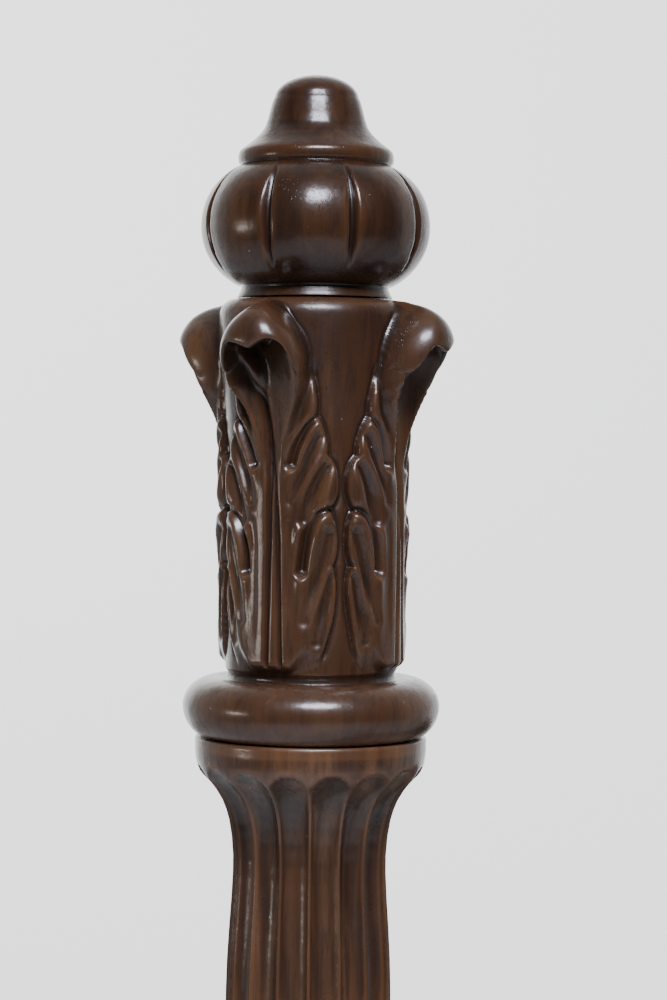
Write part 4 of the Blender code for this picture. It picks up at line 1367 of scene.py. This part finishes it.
# %% [markdown]
# ## A pale room with one window
#
# The wood is nearly black where nothing bright is mirrored in it, so the room matters as much as the
# stain. Beyond the bed stands a pale wall, a little darker toward one side and the floor, which gives the
# soft grey edges of the turnings. Around it the room falls to grey, and behind the camera to nearly
# black. A cool window stands behind and above the camera and draws the long highlights. A smaller warm
# lamp low on the left adds their dimmer companions.

# %% Room light
world = bpy.data.worlds.new("pale_room")
bpy.context.scene.world = world
world.use_nodes = True
sky = world.node_tree
direction = add(sky, "ShaderNodeTexCoord").outputs["Generated"]
WALL = 2.5  # how bright the walls of the room are
CAMERA_AZIMUTH = math.radians(26)
toward_camera = Vector((math.sin(CAMERA_AZIMUTH), -math.cos(CAMERA_AZIMUTH), 0))
rightward = Vector((math.cos(CAMERA_AZIMUTH), math.sin(CAMERA_AZIMUTH), 0))


def toward(axis):
    """How far each direction of the world leans toward the axis, from -1 to 1."""
    dot = add(sky, "ShaderNodeVectorMath", {0: direction, 1: axis}, operation="DOT_PRODUCT")
    return dot.outputs["Value"]


def wall_tint(red, green, blue):
    return (WALL * red, WALL * green, WALL * blue, 1)


sideways = toward(rightward)
upward = add(sky, "ShaderNodeSeparateXYZ", {0: direction}).outputs[2]
behind_camera = toward(toward_camera)
wall = blend(sky, ramp(sky, sideways, -0.30, 0.40), wall_tint(1, 1, 0.99), wall_tint(0.82, 0.825, 0.85))
wall = blend(sky, ramp(sky, upward, 0.10, -0.30), wall, wall_tint(0.80, 0.805, 0.82))
around = blend(sky, ramp(sky, behind_camera, -0.93, -0.62), wall, (0.50, 0.50, 0.51, 1))
room = blend(sky, ramp(sky, behind_camera, -0.50, 0.30), around, (0.034, 0.031, 0.029, 1))
background = sky.nodes["Background"]
sky.links.new(room, background.inputs["Color"])
background.inputs["Strength"].default_value = 1.0


def add_area(name, location, target, size, power, colour):
    light = bpy.data.lights.new(name, "AREA")
    light.shape = "RECTANGLE"
    light.size, light.size_y = size
    light.energy = power
    light.color = colour
    obj = bpy.data.objects.new(name, light)
    obj.location = location
    obj.rotation_euler = (Vector(target) - Vector(location)).to_track_quat("-Z", "Y").to_euler()
    bpy.context.scene.collection.objects.link(obj)


# %% Camera and lamps
CAMERA_DISTANCE = 0.63
CAMERA_TILT, CAMERA_ROLL, CAMERA_PAN = 1.55, -0.57, 0.42  # degrees
SENSOR_WIDTH = 36
VIEW_WIDTH = 0.2326  # metres seen across the frame at the post
EYE_HEIGHT = JOINT_HEIGHT + 0.0720
post_x, post_y = POST_AXES["foot_left"]
aim = Vector((post_x, post_y, EYE_HEIGHT))
eye = aim + toward_camera * CAMERA_DISTANCE
camera_data = bpy.data.cameras.new("camera")
camera_data.sensor_width = SENSOR_WIDTH
camera_data.lens = SENSOR_WIDTH / VIEW_WIDTH * CAMERA_DISTANCE
camera = bpy.data.objects.new("camera", camera_data)
camera.location = eye
camera.rotation_euler = (
    math.radians(90 - CAMERA_TILT), math.radians(CAMERA_ROLL), CAMERA_AZIMUTH - math.radians(CAMERA_PAN)
)
bpy.context.scene.collection.objects.link(camera)
bpy.context.scene.camera = camera

window_place = aim + toward_camera * 1.25 + Vector((0, 0, 1.22)) + rightward * 0.16
add_area("window", window_place, aim, (0.80, 0.50), 56, (0.84, 0.87, 1.0))
lamp_place = aim + toward_camera * 0.46 - rightward * 1.22 + Vector((0, 0, -0.08))
add_area("warm_lamp", lamp_place, aim, (0.34, 0.22), 2.2, (1.0, 0.93, 0.86))
print("camera at", [round(v, 3) for v in eye], "lens", round(camera_data.lens, 1))
